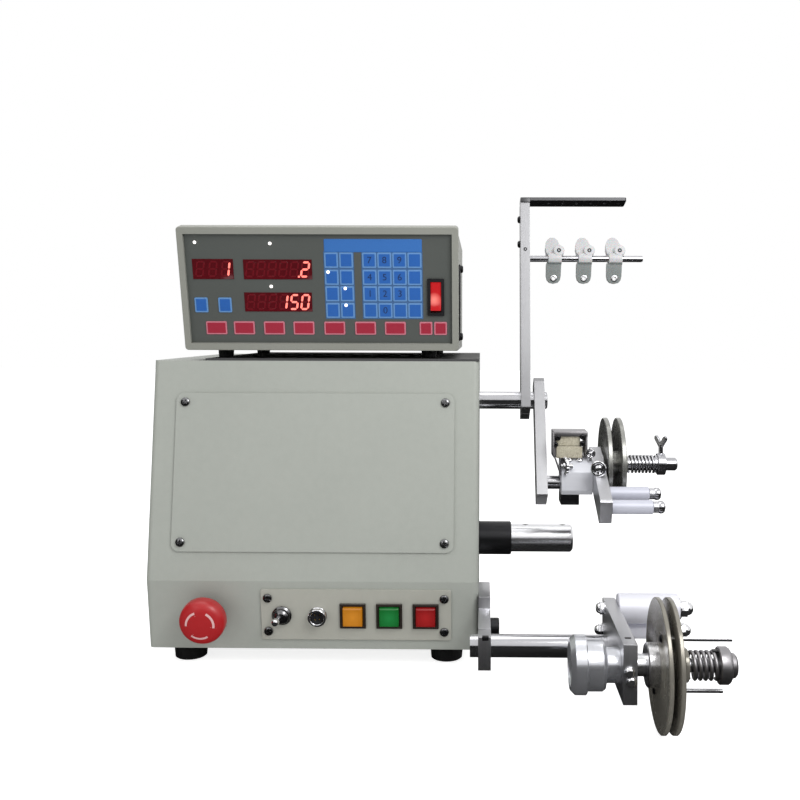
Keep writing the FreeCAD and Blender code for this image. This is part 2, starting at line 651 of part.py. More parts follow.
def controller_front():
    owner = new_body("controller_bezel")
    face = sketch(owner, "XZ_Plane")
    rectangle(face, 0, f"{CONTROL_FACE} / 2", "control_width", CONTROL_FACE)
    pad(owner, face, "bezel_depth", back=True)
    dress(owner, "Fillet", "control_corner", along((0, 1, 0)))
    dress(owner, "Fillet", 1, at_height("y", 0))
    opening = sketch(owner, "XZ_Plane")
    rectangle(opening, 0, f"{CONTROL_FACE} / 2", "control_width - 2 * bezel_side",
              f"{CONTROL_FACE} - 2 * bezel_edge")
    pocket(owner, opening)
    rabbet = sketch(owner, "XZ_Plane", lift="-bezel_depth")
    rectangle(rabbet, 0, f"{CONTROL_FACE} / 2",
              "control_width - 2 * bezel_side + 2 * bezel_rabbet",
              f"{CONTROL_FACE} - 2 * bezel_edge + 2 * bezel_rabbet")
    pocket(owner, rabbet, "bezel_depth - bezel_recess", back=True)
    on_control(owner)
    node(owner, "controller_bezel")
    panel = new_body("control_panel")
    sheet_face = sketch(panel, "XZ_Plane")
    rectangle(sheet_face, 0, f"{CONTROL_FACE} / 2",
              "control_width - 2 * bezel_side + 2 * bezel_rabbet - 2 * seat_gap",
              f"{CONTROL_FACE} - 2 * bezel_edge + 2 * bezel_rabbet - 2 * seat_gap")
    pad(panel, sheet_face, "panel_thick", back=True)
    mouth = sketch(panel, "XZ_Plane")
    rectangle(mouth, ROCKER_X, "rocker_rise", "rocker_width - 2 * rocker_rim + 2 * seat_gap",
              "rocker_height - 2 * rocker_rim + 2 * seat_gap")
    pocket(panel, mouth)
    on_control(panel, y="bezel_recess")
    node(panel, "control_panel")
    board = new_body("circuit_board")
    card = sketch(board, "XZ_Plane")
    rectangle(card, "-rocker_width", f"{CONTROL_FACE} / 2",
              "control_width - 2 * bezel_side - 2 * rocker_width - 20",
              f"{CONTROL_FACE} - 2 * bezel_edge - 6")
    pad(board, card, "board_thick", back=True)
    pillars = sketch(board, "XZ_Plane")
    for x, z in four("-rocker_width", f"{CONTROL_FACE} / 2",
                     "control_width - 2 * bezel_side - 2 * rocker_width - 34",
                     f"{CONTROL_FACE} - 2 * bezel_edge - 20"):
        circle(pillars, x, z, 3)
    pad(board, pillars, "board_gap")
    chips = sketch(board, "XZ_Plane")
    for x, rise, wide, high in CHIPS:
        rectangle(chips, x, f"{CONTROL_FACE} * {rise}", wide, high)
    pad(board, chips, "chip_height")
    on_control(board, y="bezel_recess + panel_thick + board_gap")
    node(board, "circuit_board")


def power_switch():
    frame = new_body("rocker_frame")
    rim = sketch(frame, "XZ_Plane")
    rectangle(rim, 0, 0, "rocker_width", "rocker_height")
    pad(frame, rim, 1.6)
    dress(frame, "Fillet", 0.8, along((0, 1, 0)))
    barrel = sketch(frame, "XZ_Plane")
    rectangle(barrel, 0, 0, "rocker_width - 2 * rocker_rim", "rocker_height - 2 * rocker_rim")
    pad(frame, barrel, 15, back=True)
    well = sketch(frame, "XZ_Plane", lift=1.6)
    rectangle(well, 0, 0, "rocker_width - 2 * rocker_rim - 1.6",
              "rocker_height - 2 * rocker_rim - 2")
    pocket(frame, well, 13)
    on_control(frame, ROCKER_X, "rocker_rise", "bezel_recess")
    node(frame, "rocker_frame")
    rocker = new_body("power_rocker")
    half = "(rocker_height / 2 - rocker_rim - 2.2)"
    side = sketch(rocker, "YZ_Plane")
    polygon(side, [(-6.1, f"-{half}"), (-3.9, 0), (-6.1, half), (-2.5, f"{half} - 0.6"), (2, 3),
                   (2, -3), (-2.5, f"0.6 - {half}")])
    pad(rocker, side, "rocker_width - 2 * rocker_rim - 2", "Symmetric")
    pivot = sketch(rocker, "YZ_Plane")
    circle(pivot, 0, 0, 1.5)
    pad(rocker, pivot, "rocker_width - 2 * rocker_rim - 1.6 - 2 * running_gap", "Symmetric")
    seat(rocker, (CONTROL_Y, CONTROL_Z), CONTROL_LEAN, f"control_x + {ROCKER_X}",
         "bezel_recess + rocker_depth", "rocker_rise")
    tie(rocker, "Placement.Rotation.Angle", f"{CONTROL_LEAN} - rocker_tilt * 1 deg")
    node(rocker, "power_rocker")


# --- spindle and its drive ----------------------------------------------------------------

def spindle_unit():
    flange_back = f"{INNER_X} - flange_thick"
    barrel_end = f"{INNER_X} - housing_length"
    pocket_floor = f"{INNER_X} - 11"
    housing = turned("spindle_housing", "x", [
        (f"{SIDE_X} + sleeve_reach", "spindle_radius + free_gap"),
        (f"{SIDE_X} + sleeve_reach", "sleeve_radius - 1"),
        (f"{SIDE_X} + sleeve_reach - 1", "sleeve_radius"), (INNER_X, "sleeve_radius"),
        (INNER_X, "flange_radius"), (flange_back, "flange_radius"),
        (flange_back, "housing_radius"), (barrel_end, "housing_radius"),
        (barrel_end, "bearing_radius"), (pocket_floor, "bearing_radius"),
        (pocket_floor, "spindle_radius + free_gap")])
    bolts = sketch(housing, "YZ_Plane", lift=INNER_X)
    for turn in (45, 135, 225, 315):
        circle(bolts, f"(flange_radius - 2.5) * cos({turn})",
               f"(flange_radius - 2.5) * sin({turn})", 1.6)
    pocket(housing, bolts, "flange_thick")
    place(housing, 0, SPINDLE_Y, "spindle_rise")
    node(housing, "spindle_housing")
    inner_ring = "spindle_radius"
    rings = []
    for index, start in enumerate((f"{pocket_floor} - bearing_width", barrel_end)):
        ring = turned(f"bearing_{'front' if index == 0 else 'rear'}", "x", [
            (start, inner_ring), (start, "bearing_radius"),
            (f"{start} + bearing_width", "bearing_radius"),
            (f"{start} + bearing_width", inner_ring)])
        place(ring, 0, SPINDLE_Y, "spindle_rise")
        rings.append(ring)
    node(compound("spindle_bearings", rings), "spindle_bearings")
    tip = f"{SIDE_X} + spindle_reach"
    tail = f"{barrel_end} - tail_length"
    journal = "spindle_radius - running_gap"
    shaft = turned("spindle_shaft", "x", [
        (tip, "mandrel_radius"), (tip, f"{journal} - 2"), (f"{tip} - 2", journal),
        (tail, journal), (tail, 0), (f"{tip} - mandrel_depth", 0),
        (f"{tip} - mandrel_depth", "mandrel_radius")])
    taps = sketch(shaft, "XY_Plane")
    for reach in ("spindle_reach - 9", "spindle_reach - 43"):
        circle(taps, f"{SIDE_X} + {reach}", 0, "set_screw_radius")
    pocket(shaft, taps, "spindle_radius", back=True)
    place(shaft, 0, SPINDLE_Y, "spindle_rise")
    node(shaft, "spindle_shaft")


PULLEY_X = f"({INNER_X} - housing_length - tail_length + 3)"


def grooved_pulley(name, radius, bore, start):
    """A flat-belt pulley between two rims."""
    rim = "((pulley_width - belt_width - 1) / 2)"
    return turned(name, "x", [
        (start, bore), (start, f"{radius} + belt_thick + 2"),
        (f"{start} + {rim}", f"{radius} + belt_thick + 2"), (f"{start} + {rim}", radius),
        (f"{start} + pulley_width - {rim}", radius),
        (f"{start} + pulley_width - {rim}", f"{radius} + belt_thick + 2"),
        (f"{start} + pulley_width", f"{radius} + belt_thick + 2"),
        (f"{start} + pulley_width", bore)])


def belt_drive():
    wheel = grooved_pulley("spindle_pulley", "pulley_radius", "spindle_radius - running_gap",
                           PULLEY_X)
    place(wheel, 0, SPINDLE_Y, "spindle_rise")
    node(wheel, "spindle_pulley")
    motor_y = f"({NOSE_Y} + motor_setback)"
    small = grooved_pulley("motor_pulley", "motor_pulley_radius", 0, PULLEY_X)
    stub = sketch(small, "YZ_Plane", lift=PULLEY_X)
    circle(stub, 0, 0, "motor_shaft_radius")
    pad(small, stub, "motor_stub", back=True)
    place(small, 0, motor_y, "motor_rise")
    node(small, "motor_pulley")
    motor = new_body("spindle_motor")
    front = f"{PULLEY_X} - motor_gap"
    frame_ring = sketch(motor, "YZ_Plane", lift=front)
    circle(frame_ring, 0, 0, "motor_radius")
    pad(motor, frame_ring, "motor_length", back=True)
    base = sketch(motor, "YZ_Plane", lift=f"{front} - motor_base_inset")
    rectangle(base, 0, "-(motor_rise - foot_height - case_wall) / 2", "motor_radius * 1.3",
              "motor_rise - foot_height - case_wall")
    pad(motor, base, "motor_length - 2 * motor_base_inset", back=True)
    shaft_hole = sketch(motor, "YZ_Plane", lift=front)
    circle(shaft_hole, 0, 0, "motor_shaft_radius + running_gap")
    pocket(motor, shaft_hole, "motor_stub - 2")
    place(motor, 0, motor_y, "motor_rise")
    node(motor, "spindle_motor")
    belt = new_body("drive_belt")
    span = math.hypot(number("motor_setback - spindle_setback"),
                      number("motor_rise - spindle_rise"))
    for extra, cut in (("belt_thick + free_gap", False), ("free_gap", True)):
        loop = sketch(belt, "YZ_Plane")
        belt_loop(loop, f"pulley_radius + {extra}", f"motor_pulley_radius + {extra}", span)
        if cut:
            pocket(belt, loop)
        else:
            pad(belt, loop, "belt_width", "Symmetric")
    place(belt, f"{PULLEY_X} + pulley_width / 2", SPINDLE_Y, "spindle_rise",
          "atan((motor_rise - spindle_rise) / (motor_setback - spindle_setback))")
    node(belt, "drive_belt")


def belt_loop(drawing, big, small, span):
    """A loop round two pulleys: two arcs joined by their outer tangents."""
    large, little = number(big), number(small)
    tilt = math.acos((large - little) / span)
    turn = math.tau

    def spot(centre, radius, angle):
        return FreeCAD.Vector(centre + radius * math.cos(angle), radius * math.sin(angle), 0)

    z = FreeCAD.Vector(0, 0, 1)
    wide = drawing.addGeometry(Part.ArcOfCircle(
        Part.Circle(FreeCAD.Vector(), z, large), tilt, turn - tilt))
    tight = drawing.addGeometry(Part.ArcOfCircle(
        Part.Circle(FreeCAD.Vector(span, 0, 0), z, little), -tilt, tilt))
    upper = drawing.addGeometry(Part.LineSegment(spot(0, large, tilt), spot(span, little, tilt)))
    lower = drawing.addGeometry(Part.LineSegment(spot(span, little, -tilt), spot(0, large, -tilt)))
    for a, end_a, b, end_b in ((wide, 1, upper, 1), (upper, 2, tight, 2), (tight, 1, lower, 1),
                               (lower, 2, wide, 2)):
        drawing.addConstraint(Sketcher.Constraint("Tangent", a, end_a, b, end_b))
    hold(drawing, wide, 3, 0, 0)
    hold(drawing, tight, 3, "sqrt((motor_setback - spindle_setback)^2 + "
                            "(motor_rise - spindle_rise)^2)", 0)
    for arc, text in ((wide, big), (tight, small)):
        rule = drawing.addConstraint(Sketcher.Constraint("Radius", arc, number(text)))
        tie(drawing, f"Constraints[{rule}]", text)


# --- traverse -----------------------------------------------------------------------------

def traverse_unit():
    inner = INNER_X
    bushing = turned("rod_bushing", "x", [
        (inner, "traverse_radius + traverse_clear"), (inner, "bushing_flange"),
        (f"{inner} - bushing_rim", "bushing_flange"), (f"{inner} - bushing_rim", "bushing_radius"),
        (f"{inner} - bushing_length", "bushing_radius"),
        (f"{inner} - bushing_length", "traverse_radius + traverse_clear")])
    place(bushing, 0, TRAVERSE_Y, TRAVERSE_Z)
    node(bushing, "rod_bushing")
    rod = turned("traverse_rod", "x", [
        ("carriage_left", 0), ("carriage_left", "traverse_radius"),
        (f"{SIDE_X} + traverse_reach - 1", "traverse_radius"),
        (f"{SIDE_X} + traverse_reach", "traverse_radius - 1"), (f"{SIDE_X} + traverse_reach", 0)])
    place(rod, 0, TRAVERSE_Y, TRAVERSE_Z)
    node(rod, "traverse_rod")
    carriage = new_body("traverse_carriage")
    block = sketch(carriage, "YZ_Plane")
    rectangle(block, "screw_offset / 2", 0, "screw_offset + carriage_height",
              "carriage_height")
    pad(carriage, block, "carriage_length")
    dress(carriage, "Fillet", 3, along((1, 0, 0)))
    bores = sketch(carriage, "YZ_Plane")
    circle(bores, 0, 0, "traverse_radius")
    circle(bores, "screw_offset", 0, "lead_radius + running_gap")
    pocket(carriage, bores)
    place(carriage, "carriage_left", TRAVERSE_Y, TRAVERSE_Z)
    node(carriage, "traverse_carriage")
    screw_y = f"{TRAVERSE_Y} + screw_offset"
    face = f"(-{INNER_X} + stepper_length)"
    screw = turned("lead_screw", "x", steps(
        f"{face} - lead_seat", ("lead_journal", "lead_radius * 0.7"),
        ("lead_length", "lead_radius"),
        (2, "lead_radius * 0.8")))
    place(screw, 0, screw_y, TRAVERSE_Z)
    node(screw, "lead_screw")
    stepper = new_body("stepper_motor")
    can = sketch(stepper, "YZ_Plane")
    rectangle(can, 0, 0, "stepper_size", "stepper_size")
    pad(stepper, can, "stepper_length")
    dress(stepper, "Chamfer", 4, along((1, 0, 0)))
    boss = sketch(stepper, "YZ_Plane", lift="stepper_length")
    circle(boss, 0, 0, "stepper_size * 0.3")
    pad(stepper, boss, "stepper_boss")
    shaft_hole = sketch(stepper, "YZ_Plane", lift="stepper_length + stepper_boss")
    circle(shaft_hole, 0, 0, "lead_radius * 0.7 + running_gap")
    pocket(stepper, shaft_hole, "lead_seat + 2")
    place(stepper, f"-{INNER_X}", screw_y, TRAVERSE_Z)
    node(stepper, "stepper_motor")


# --- stand with the wire guides -----------------------------------------------------------

def clamp_bar(name, low, high, depth, thick, bores, slits, rake=0, nose=0):
    """A flat bar with bores across it and a clamping slit from an end into a bore.

    Its lower end is cut back in front by rake, and its upper front corner by nose.
    """
    owner = new_body(name)
    face = sketch(owner, "YZ_Plane")
    half = f"({depth}) / 2"
    outline = [(f"-{half}", f"({low}) + {rake}"), (half, low), (half, high)]
    if nose:
        outline += [(f"{nose} - {half}", high), (f"-{half}", f"({high}) - {nose}")]
    else:
        outline.append((f"-{half}", high))
    polygon(face, outline)
    pad(owner, face, thick)
    dress(owner, "Fillet", "bar_corner", along((1, 0, 0)))
    holes = sketch(owner, "YZ_Plane")
    for z, radius in bores:
        circle(holes, 0, z, radius)
    pocket(owner, holes)
    for z_from, z_to in slits:
        slit = sketch(owner, "YZ_Plane")
        rectangle(slit, 0, f"(({z_from}) + ({z_to})) / 2", "slit_width", f"({z_to}) - ({z_from})")
        pocket(owner, slit)
    return owner


def stand_unit():
    pivot = (TRAVERSE_Y, TRAVERSE_Z)
    lean = "(-stand_lean * 1 deg)"
    bar = clamp_bar("stand_bar", "-stand_tail", "stand_length", "stand_depth", "stand_thick",
                    [(0, "traverse_radius + running_gap"), ("guide_rod_rise", "guide_rod_radius")],
                    [("-stand_tail - 1", "-traverse_radius / 2")], rake="stand_rake")
    seat(bar, pivot, lean, "stand_x")
    node(bar, "stand_bar")
    strip = new_body("stand_top_strip")
    flat = sketch(strip, "XY_Plane")
    rectangle(flat, "strip_length / 2", 0, "strip_length", "strip_depth")
    pad(strip, flat, "strip_thick")
    dress(strip, "Fillet", 2, along((0, 0, 1)))
    holes = sketch(strip, "XY_Plane")
    for count in range(int(number("strip_holes"))):
        circle(holes, f"strip_first + {count} * strip_pitch", 0, "strip_hole_radius")
    pocket(strip, holes)
    seat(strip, pivot, lean, "stand_x", 0, "stand_length")
    node(strip, "stand_top_strip")
    rod = turned("stand_guide_rod", "x", steps(0, (1, "guide_rod_radius - 0.6"),
                                               ("guide_rod_length - 2", "guide_rod_radius"),
                                               (1, "guide_rod_radius - 0.6")))
    seat(rod, pivot, lean, "stand_x", 0, "guide_rod_rise")
    node(rod, "stand_guide_rod")
    guides = []
    for count in range(3):
        guide = wire_guide(f"wire_guide_{'abc'[count]}")
        seat(guide, pivot, lean, f"stand_x + guide_first + {count} * guide_pitch", 0,
             "guide_rod_rise")
        guides.append(guide)
    node(compound("wire_guides", guides), "wire_guides")


def wire_guide(name):
    """A moulded nylon guide: rounded ear above, hub on the rod, tongue with an eyelet below."""
    owner = new_body(name)
    hub = sketch(owner, "YZ_Plane")
    circle(hub, 0, 0, "guide_thick * 0.75")
    pad(owner, hub, "guide_width", "Symmetric")
    tongue = sketch(owner, "XZ_Plane")
    half = "guide_width / 2"
    polygon(tongue, [(f"-{half}", "-guide_drop"), (half, "-guide_drop"), (half, -5),
                     (f"{half} - 1", 0), (half, 6), (f"{half} - 1.5", "guide_top - 3"),
                     (f"{half} - 6", "guide_top"), (f"-{half} - 1", "guide_top - 2"),
                     (f"-{half} - 2", "guide_top - 8"), (f"-{half} + 0.5", 2),
                     (f"1 - {half}", -3)])
    pad(owner, tongue, "guide_thick", "Symmetric")
    dress(owner, "Fillet", "guide_width * 0.4",
          lambda edge: along((0, 1, 0))(edge)
          and abs(edge.BoundBox.ZMin - number("-guide_drop")) < 1e-4)
    bores = sketch(owner, "YZ_Plane")
    circle(bores, 0, 0, "guide_rod_radius")
    pocket(owner, bores)
    eyelet = sketch(owner, "XZ_Plane")
    circle(eyelet, 0, "6 - guide_drop", "eyelet_radius")
    pocket(owner, eyelet)
    return owner


# --- guide arm and winding head -----------------------------------------------------------

ARM_LEAN = "(-arm_lean * 1 deg)"
HEAD_Y = f"({TRAVERSE_Y} - arm_length * sin(arm_lean * 1 deg))"
HEAD_Z = f"({TRAVERSE_Z} - arm_length * cos(arm_lean * 1 deg))"
WHEEL_Y = f"({HEAD_Y} + wheel_back)"
WHEEL_Z = f"({HEAD_Z} + wheel_up)"
FINGER = "(finger_tilt * 1 deg)"
FINGER_X = "(block_x + block_width)"


def guide_arm():
    arm = clamp_bar("guide_arm", "-arm_length - arm_tail", "arm_top", "arm_depth", "arm_thick",
                    [(0, "traverse_radius + running_gap"),
                     ("-arm_length", "stub_radius")],
                    [("traverse_radius / 2", "arm_top + 1")], nose="arm_nose")
    seat(arm, (TRAVERSE_Y, TRAVERSE_Z), ARM_LEAN, "arm_x")
    node(arm, "guide_arm")
    stub = turned("head_rod", "x", steps(0, ("stub_length + arm_thick - 1", "stub_radius"),
                                         (1, "stub_radius - 0.8")))
    place(stub, "arm_x", HEAD_Y, HEAD_Z)
    node(stub, "head_rod")


def head_unit():
    block = new_body("head_block")
    face = sketch(block, "YZ_Plane")
    low = "(-stub_radius - 5)"
    high = f"({low} + block_height)"
    back = "block_depth / 2"
    polygon(face, [(f"-{back}", f"{low} + 5"), (f"5 - {back}", low), (back, low), (back, high),
                   (f"6 - {back}", high), (f"-{back}", f"{high} - 6")])
    pad(block, face, "block_width")
    jaw = sketch(block, "YZ_Plane")
    rectangle(jaw, 4, f"{low} - 4", "block_depth - 12", 8)
    pad(block, jaw, "block_width * 0.6")
    bore = sketch(block, "YZ_Plane")
    circle(bore, 0, 0, "stub_radius + running_gap")
    pocket(block, bore)
    slit = sketch(block, "YZ_Plane")
    rectangle(slit, 0, f"({low} - 10 - stub_radius / 2) / 2", "slit_width",
              f"10 - stub_radius / 2 - {low}")
    pocket(block, slit)
    place(block, "block_x", HEAD_Y, HEAD_Z)
    node(block, "head_block")
    finger = new_body("head_plate")
    side = sketch(finger, "YZ_Plane")
    rectangle(side, "(finger_tail - finger_reach) / 2", 0, "finger_reach + finger_tail",
              "finger_height")
    pad(finger, side, "finger_thick")
    dress(finger, "Fillet", 3, along((1, 0, 0)))
    pins = sketch(finger, "YZ_Plane", lift="finger_thick")
    for reach in ("roller_near", "roller_far"):
        circle(pins, f"-{reach}", 0, "roller_pin_radius")
    pad(finger, pins, "roller_length + 3 * free_gap")
    caps = sketch(finger, "YZ_Plane", lift="finger_thick + roller_length + 2 * free_gap")
    for reach in ("roller_near", "roller_far"):
        circle(caps, f"-{reach}", 0, "roller_radius * 0.8")
    pad(finger, caps, 4)
    seat(finger, (WHEEL_Y, WHEEL_Z), FINGER, FINGER_X)
    node(finger, "head_plate")
    for reach, label in (("roller_far", "front_roller"), ("roller_near", "rear_roller")):
        roller = turned(label, "x", [
            (0, "roller_pin_radius + roller_clear"), (0, "roller_radius"),
            ("roller_length", "roller_radius"),
            ("roller_length", "roller_pin_radius + roller_clear")])
        seat(roller, (WHEEL_Y, WHEEL_Z), FINGER,
             f"{FINGER_X} + finger_thick + free_gap", f"-{reach}", 0)
        node(roller, label)


def felt_unit():
    base_z = f"({HEAD_Z} - stub_radius - 5 + block_height)"
    frame = new_body("felt_clamp")
    ends = sketch(frame, "XZ_Plane")
    rectangle(ends, 0, "felt_height / 2", "felt_width", "felt_height")
    pad(frame, ends, "felt_depth", "Symmetric")
    dress(frame, "Chamfer", 1.2, along((0, 1, 0)))
    inside = sketch(frame, "XZ_Plane")
    rectangle(inside, 0, "felt_height / 2", "felt_width - 2 * felt_wall",
              "felt_height - 2 * felt_wall")
    pocket(frame, inside)
    place(frame, "felt_x + felt_width / 2", f"{HEAD_Y} + 2", base_z)
    node(frame, "felt_clamp")
    pads = []
    for label, low in (("lower", "felt_wall"), ("upper", "felt_height / 2 + felt_gap / 2")):
        slab = doc.addObject("Part::Box", f"felt_{label}")
        tie(slab, "Length", "felt_width - 2 * felt_wall - 1")
        tie(slab, "Width", "felt_depth - 2")
        tie(slab, "Height", "(felt_height - 2 * felt_wall - felt_gap) / 2")
        place(slab, "felt_x + felt_wall + 0.5", f"{HEAD_Y} + 3 - felt_depth / 2",
              f"{base_z} + {low}")
        pads.append(slab)
    node(compound("felt_pads", pads), "felt_pads")


def coil_spring(name, radius, wire, length, turns):
    """A compression spring, its wire a square section swept along a helix."""
    helix = doc.addObject("Part::Helix", f"{name}_helix")
    tie(helix, "Radius", radius)
    tie(helix, "Pitch", f"(({length}) - 2 * ({wire})) / {turns}")
    tie(helix, "Height", f"({length}) - 2 * ({wire})")
    section = doc.addObject("Part::RegularPolygon", f"{name}_section")
    section.Polygon = 4
    tie(section, "Circumradius", wire)
    section.Placement = FreeCAD.Placement(
        FreeCAD.Vector(), FreeCAD.Rotation(FreeCAD.Vector(1, 0, 0), 90))
    tie(section, "Placement.Base.x", radius)
    doc.recompute()
    coil = doc.addObject("Part::Sweep", name)
    coil.Sections = [section]
    coil.Spine = (helix, ["Edge1"])
    coil.Solid = True
    coil.Frenet = True
    doc.recompute()
    return coil


def disc_pair(label, radius, thick, gap, dish, bore, start):
    """Two dished discs with their rims flared apart, back to back on one hub."""
    pair = []
    for index in (0, 1):
        low = start if index == 0 else f"{start} + 2 * {thick} + {gap}"
        sign = "" if index == 0 else "-"
        disc = turned(f"{label}_{'near' if index == 0 else 'far'}", "x", [
            (low, bore), (low, radius),
            (f"{low} + {sign}{thick} - {sign}{dish}", radius),
            (f"{low} + {sign}{thick}", f"{radius} * 0.82"), (f"{low} + {sign}{thick}", bore)])
        pair.append(disc)
    return pair


def small_wheel():
    start = f"({FINGER_X} + finger_thick + 1.5)"
    discs = disc_pair("small_disc", "small_disc_radius", "small_disc_thick", "small_disc_gap",
                      "small_disc_dish", "small_shaft_radius + running_gap", start)
    hub = turned("small_hub", "x", [
        (f"{start} + small_disc_thick", "small_shaft_radius + running_gap"),
        (f"{start} + small_disc_thick", "small_hub_radius"),
        (f"{start} + small_disc_thick + small_disc_gap", "small_hub_radius"),
        (f"{start} + small_disc_thick + small_disc_gap", "small_shaft_radius + running_gap")])
    disc_end = f"({start} + 2 * small_disc_thick + small_disc_gap)"
    bore = "small_shaft_radius + running_gap"
    boss = turned("small_boss", "x", [
        (disc_end, bore), (disc_end, "small_hub_radius - 1"),
        (f"{disc_end} + small_boss_length", "small_hub_radius - 3"),
        (f"{disc_end} + small_boss_length", bore)])
    for piece in discs + [hub, boss]:
        place(piece, 0, WHEEL_Y, WHEEL_Z)
    node(compound("small_wheel_discs", discs + [hub, boss]), "small_wheel_discs")
    shaft = turned("small_wheel_shaft", "x", [
        (f"{FINGER_X} + finger_thick", 0), (f"{FINGER_X} + finger_thick", "small_shaft_radius + 3"),
        (f"{start} - 0.3", "small_shaft_radius + 3"), (f"{start} - 0.3", "small_shaft_radius"),
        (f"{FINGER_X} + finger_thick + small_shaft_length - 1.5", "small_shaft_radius"),
        (f"{FINGER_X} + finger_thick + small_shaft_length", "small_shaft_radius - 1.5"),
        (f"{FINGER_X} + finger_thick + small_shaft_length", 0)])
    place(shaft, 0, WHEEL_Y, WHEEL_Z)
    node(shaft, "small_wheel_shaft")
    spring_start = f"({disc_end} + small_boss_length + 0.3)"
    spring = coil_spring("small_wheel_spring", "small_spring_radius", "small_spring_wire",
                         "small_spring_length", "small_spring_turns")
    place(spring, f"{spring_start} + small_spring_wire", WHEEL_Y, WHEEL_Z, 90, (0, 1, 0))
    node(spring, "small_wheel_spring")
    collar = turned("wing_collar", "x", [
        (f"{spring_start} + small_spring_length", "small_shaft_radius"),
        (f"{spring_start} + small_spring_length", "wing_collar_radius - 2"),
        (f"{spring_start} + 2 + small_spring_length", "wing_collar_radius - 2"),
        (f"{spring_start} + 2 + small_spring_length", "wing_collar_radius"),
        (f"{spring_start} + 2 + small_spring_length + wing_collar_length", "wing_collar_radius"),
        (f"{spring_start} + 2 + small_spring_length + wing_collar_length", "small_shaft_radius")])
    middle = f"{spring_start} + 2 + small_spring_length + wing_collar_length / 2"
    stem = sketch(collar, "XY_Plane", lift="wing_collar_radius - 1")
    circle(stem, middle, 0, "wing_screw_radius")
    pad(collar, stem, 8)
    wings = sketch(collar, "XZ_Plane")
    top = "wing_collar_radius + 6"
    polygon(wings, [(f"{middle} - 2", top), (f"{middle} + 2", top),
                    (f"{middle} + 6.5", f"{top} + 8"),
                    (f"{middle} + 4", f"{top} + 10"), (middle, f"{top} + 5"),
                    (f"{middle} - 4", f"{top} + 10"), (f"{middle} - 6.5", f"{top} + 8")])
    pad(collar, wings, 2.4, "Symmetric")
    place(collar, 0, WHEEL_Y, WHEEL_Z)
    node(collar, "wing_collar")


# --- tension rod, arm and wheel -----------------------------------------------------------

ROD_Y = f"({NOSE_Y} - rod_front)"
AXLE_Y = f"({NOSE_Y} - axle_front)"
PIN_SPOTS = [(f"{side}pin_circle * cos(pin_angle)", f"{other}pin_circle * sin(pin_angle)")
             for side, other in (("-", ""), ("", "-"))]


def rod_bracket():
    owner = new_body("rod_bracket")
    side = sketch(owner, "YZ_Plane")
    front = f"{NOSE_Y} - bracket_front"
    back = f"{NOSE_Y} + bracket_back"
    polygon(side, [(front, "bracket_low"), (back, "bracket_low"), (back, "bracket_high"),
                   (f"{NOSE_Y} - bracket_step", "bracket_high"),
                   (f"{NOSE_Y} - bracket_step", "bracket_mid"), (front, "bracket_mid")])
    pad(owner, side, "bracket_thick")
    dress(owner, "Fillet", 1.5, along((1, 0, 0)))
    bore = sketch(owner, "YZ_Plane")
    circle(bore, ROD_Y, "rod_rise", "rod_radius")
    pocket(owner, bore)
    slit = sketch(owner, "YZ_Plane")
    rectangle(slit, ROD_Y, "(bracket_mid + rod_rise + rod_radius) / 2", "slit_width",
              "bracket_mid - rod_rise - rod_radius + 4")
    pocket(owner, slit)
    place(owner, SIDE_X, 0, 0)
    node(owner, "rod_bracket")
    rod = turned("tension_rod", "x", [
        ("rod_left", 0), ("rod_left", "rod_radius"), ("bar_x + bar_thick + 2", "rod_radius"),
        ("bar_x + bar_thick + 2", 0)])
    place(rod, 0, ROD_Y, "rod_rise")
    node(rod, "tension_rod")


def tension_arm():
    owner = new_body("tension_arm")
    side = sketch(owner, "YZ_Plane")
    middle = f"{NOSE_Y} - (bar_front + bar_back) / 2"
    rectangle(side, middle, "(bar_low + bar_high) / 2", "bar_front - bar_back",
              "bar_high - bar_low")
    pad(owner, side, "bar_thick")
    dress(owner, "Fillet", 2, along((1, 0, 0)))
    bores = sketch(owner, "YZ_Plane")
    circle(bores, ROD_Y, "rod_rise", "rod_radius + running_gap")
    circle(bores, AXLE_Y, "axle_rise", "axle_radius + running_gap")
    pocket(owner, bores)
    slit = sketch(owner, "YZ_Plane")
    rectangle(slit, ROD_Y, "(bar_low + rod_rise - rod_radius) / 2", "slit_width",
              "rod_rise - rod_radius - bar_low + 4")
    pocket(owner, slit)
    spots = ((f"{NOSE_Y} - big_roller_front", "big_roller_rise"),
             (f"{NOSE_Y} - low_roller_front", "low_roller_rise"))
    studs = sketch(owner, "YZ_Plane", lift="bar_thick")
    for y, z in spots:
        circle(studs, y, z, "stud_radius")
    pad(owner, studs, "big_roller_length + 3 * free_gap")
    nuts = sketch(owner, "YZ_Plane", lift="bar_thick + big_roller_length + 2 * free_gap")
    for y, z in spots:
        circle(nuts, y, z, "stud_radius * 1.8")
    pad(owner, nuts, 8)
    place(owner, "bar_x", 0, 0)
    node(owner, "tension_arm")
    for label, radius, (y, z) in zip(("upper_arm_roller", "lower_arm_roller"),
                                     ("big_roller_radius", "low_roller_radius"), spots):
        roller = turned(label, "x", [
            (0, "stud_radius + roller_clear"), (0, radius), ("big_roller_length", radius),
            ("big_roller_length", "stud_radius + roller_clear")])
        place(roller, "bar_x + bar_thick + free_gap", y, z)
        node(roller, label)


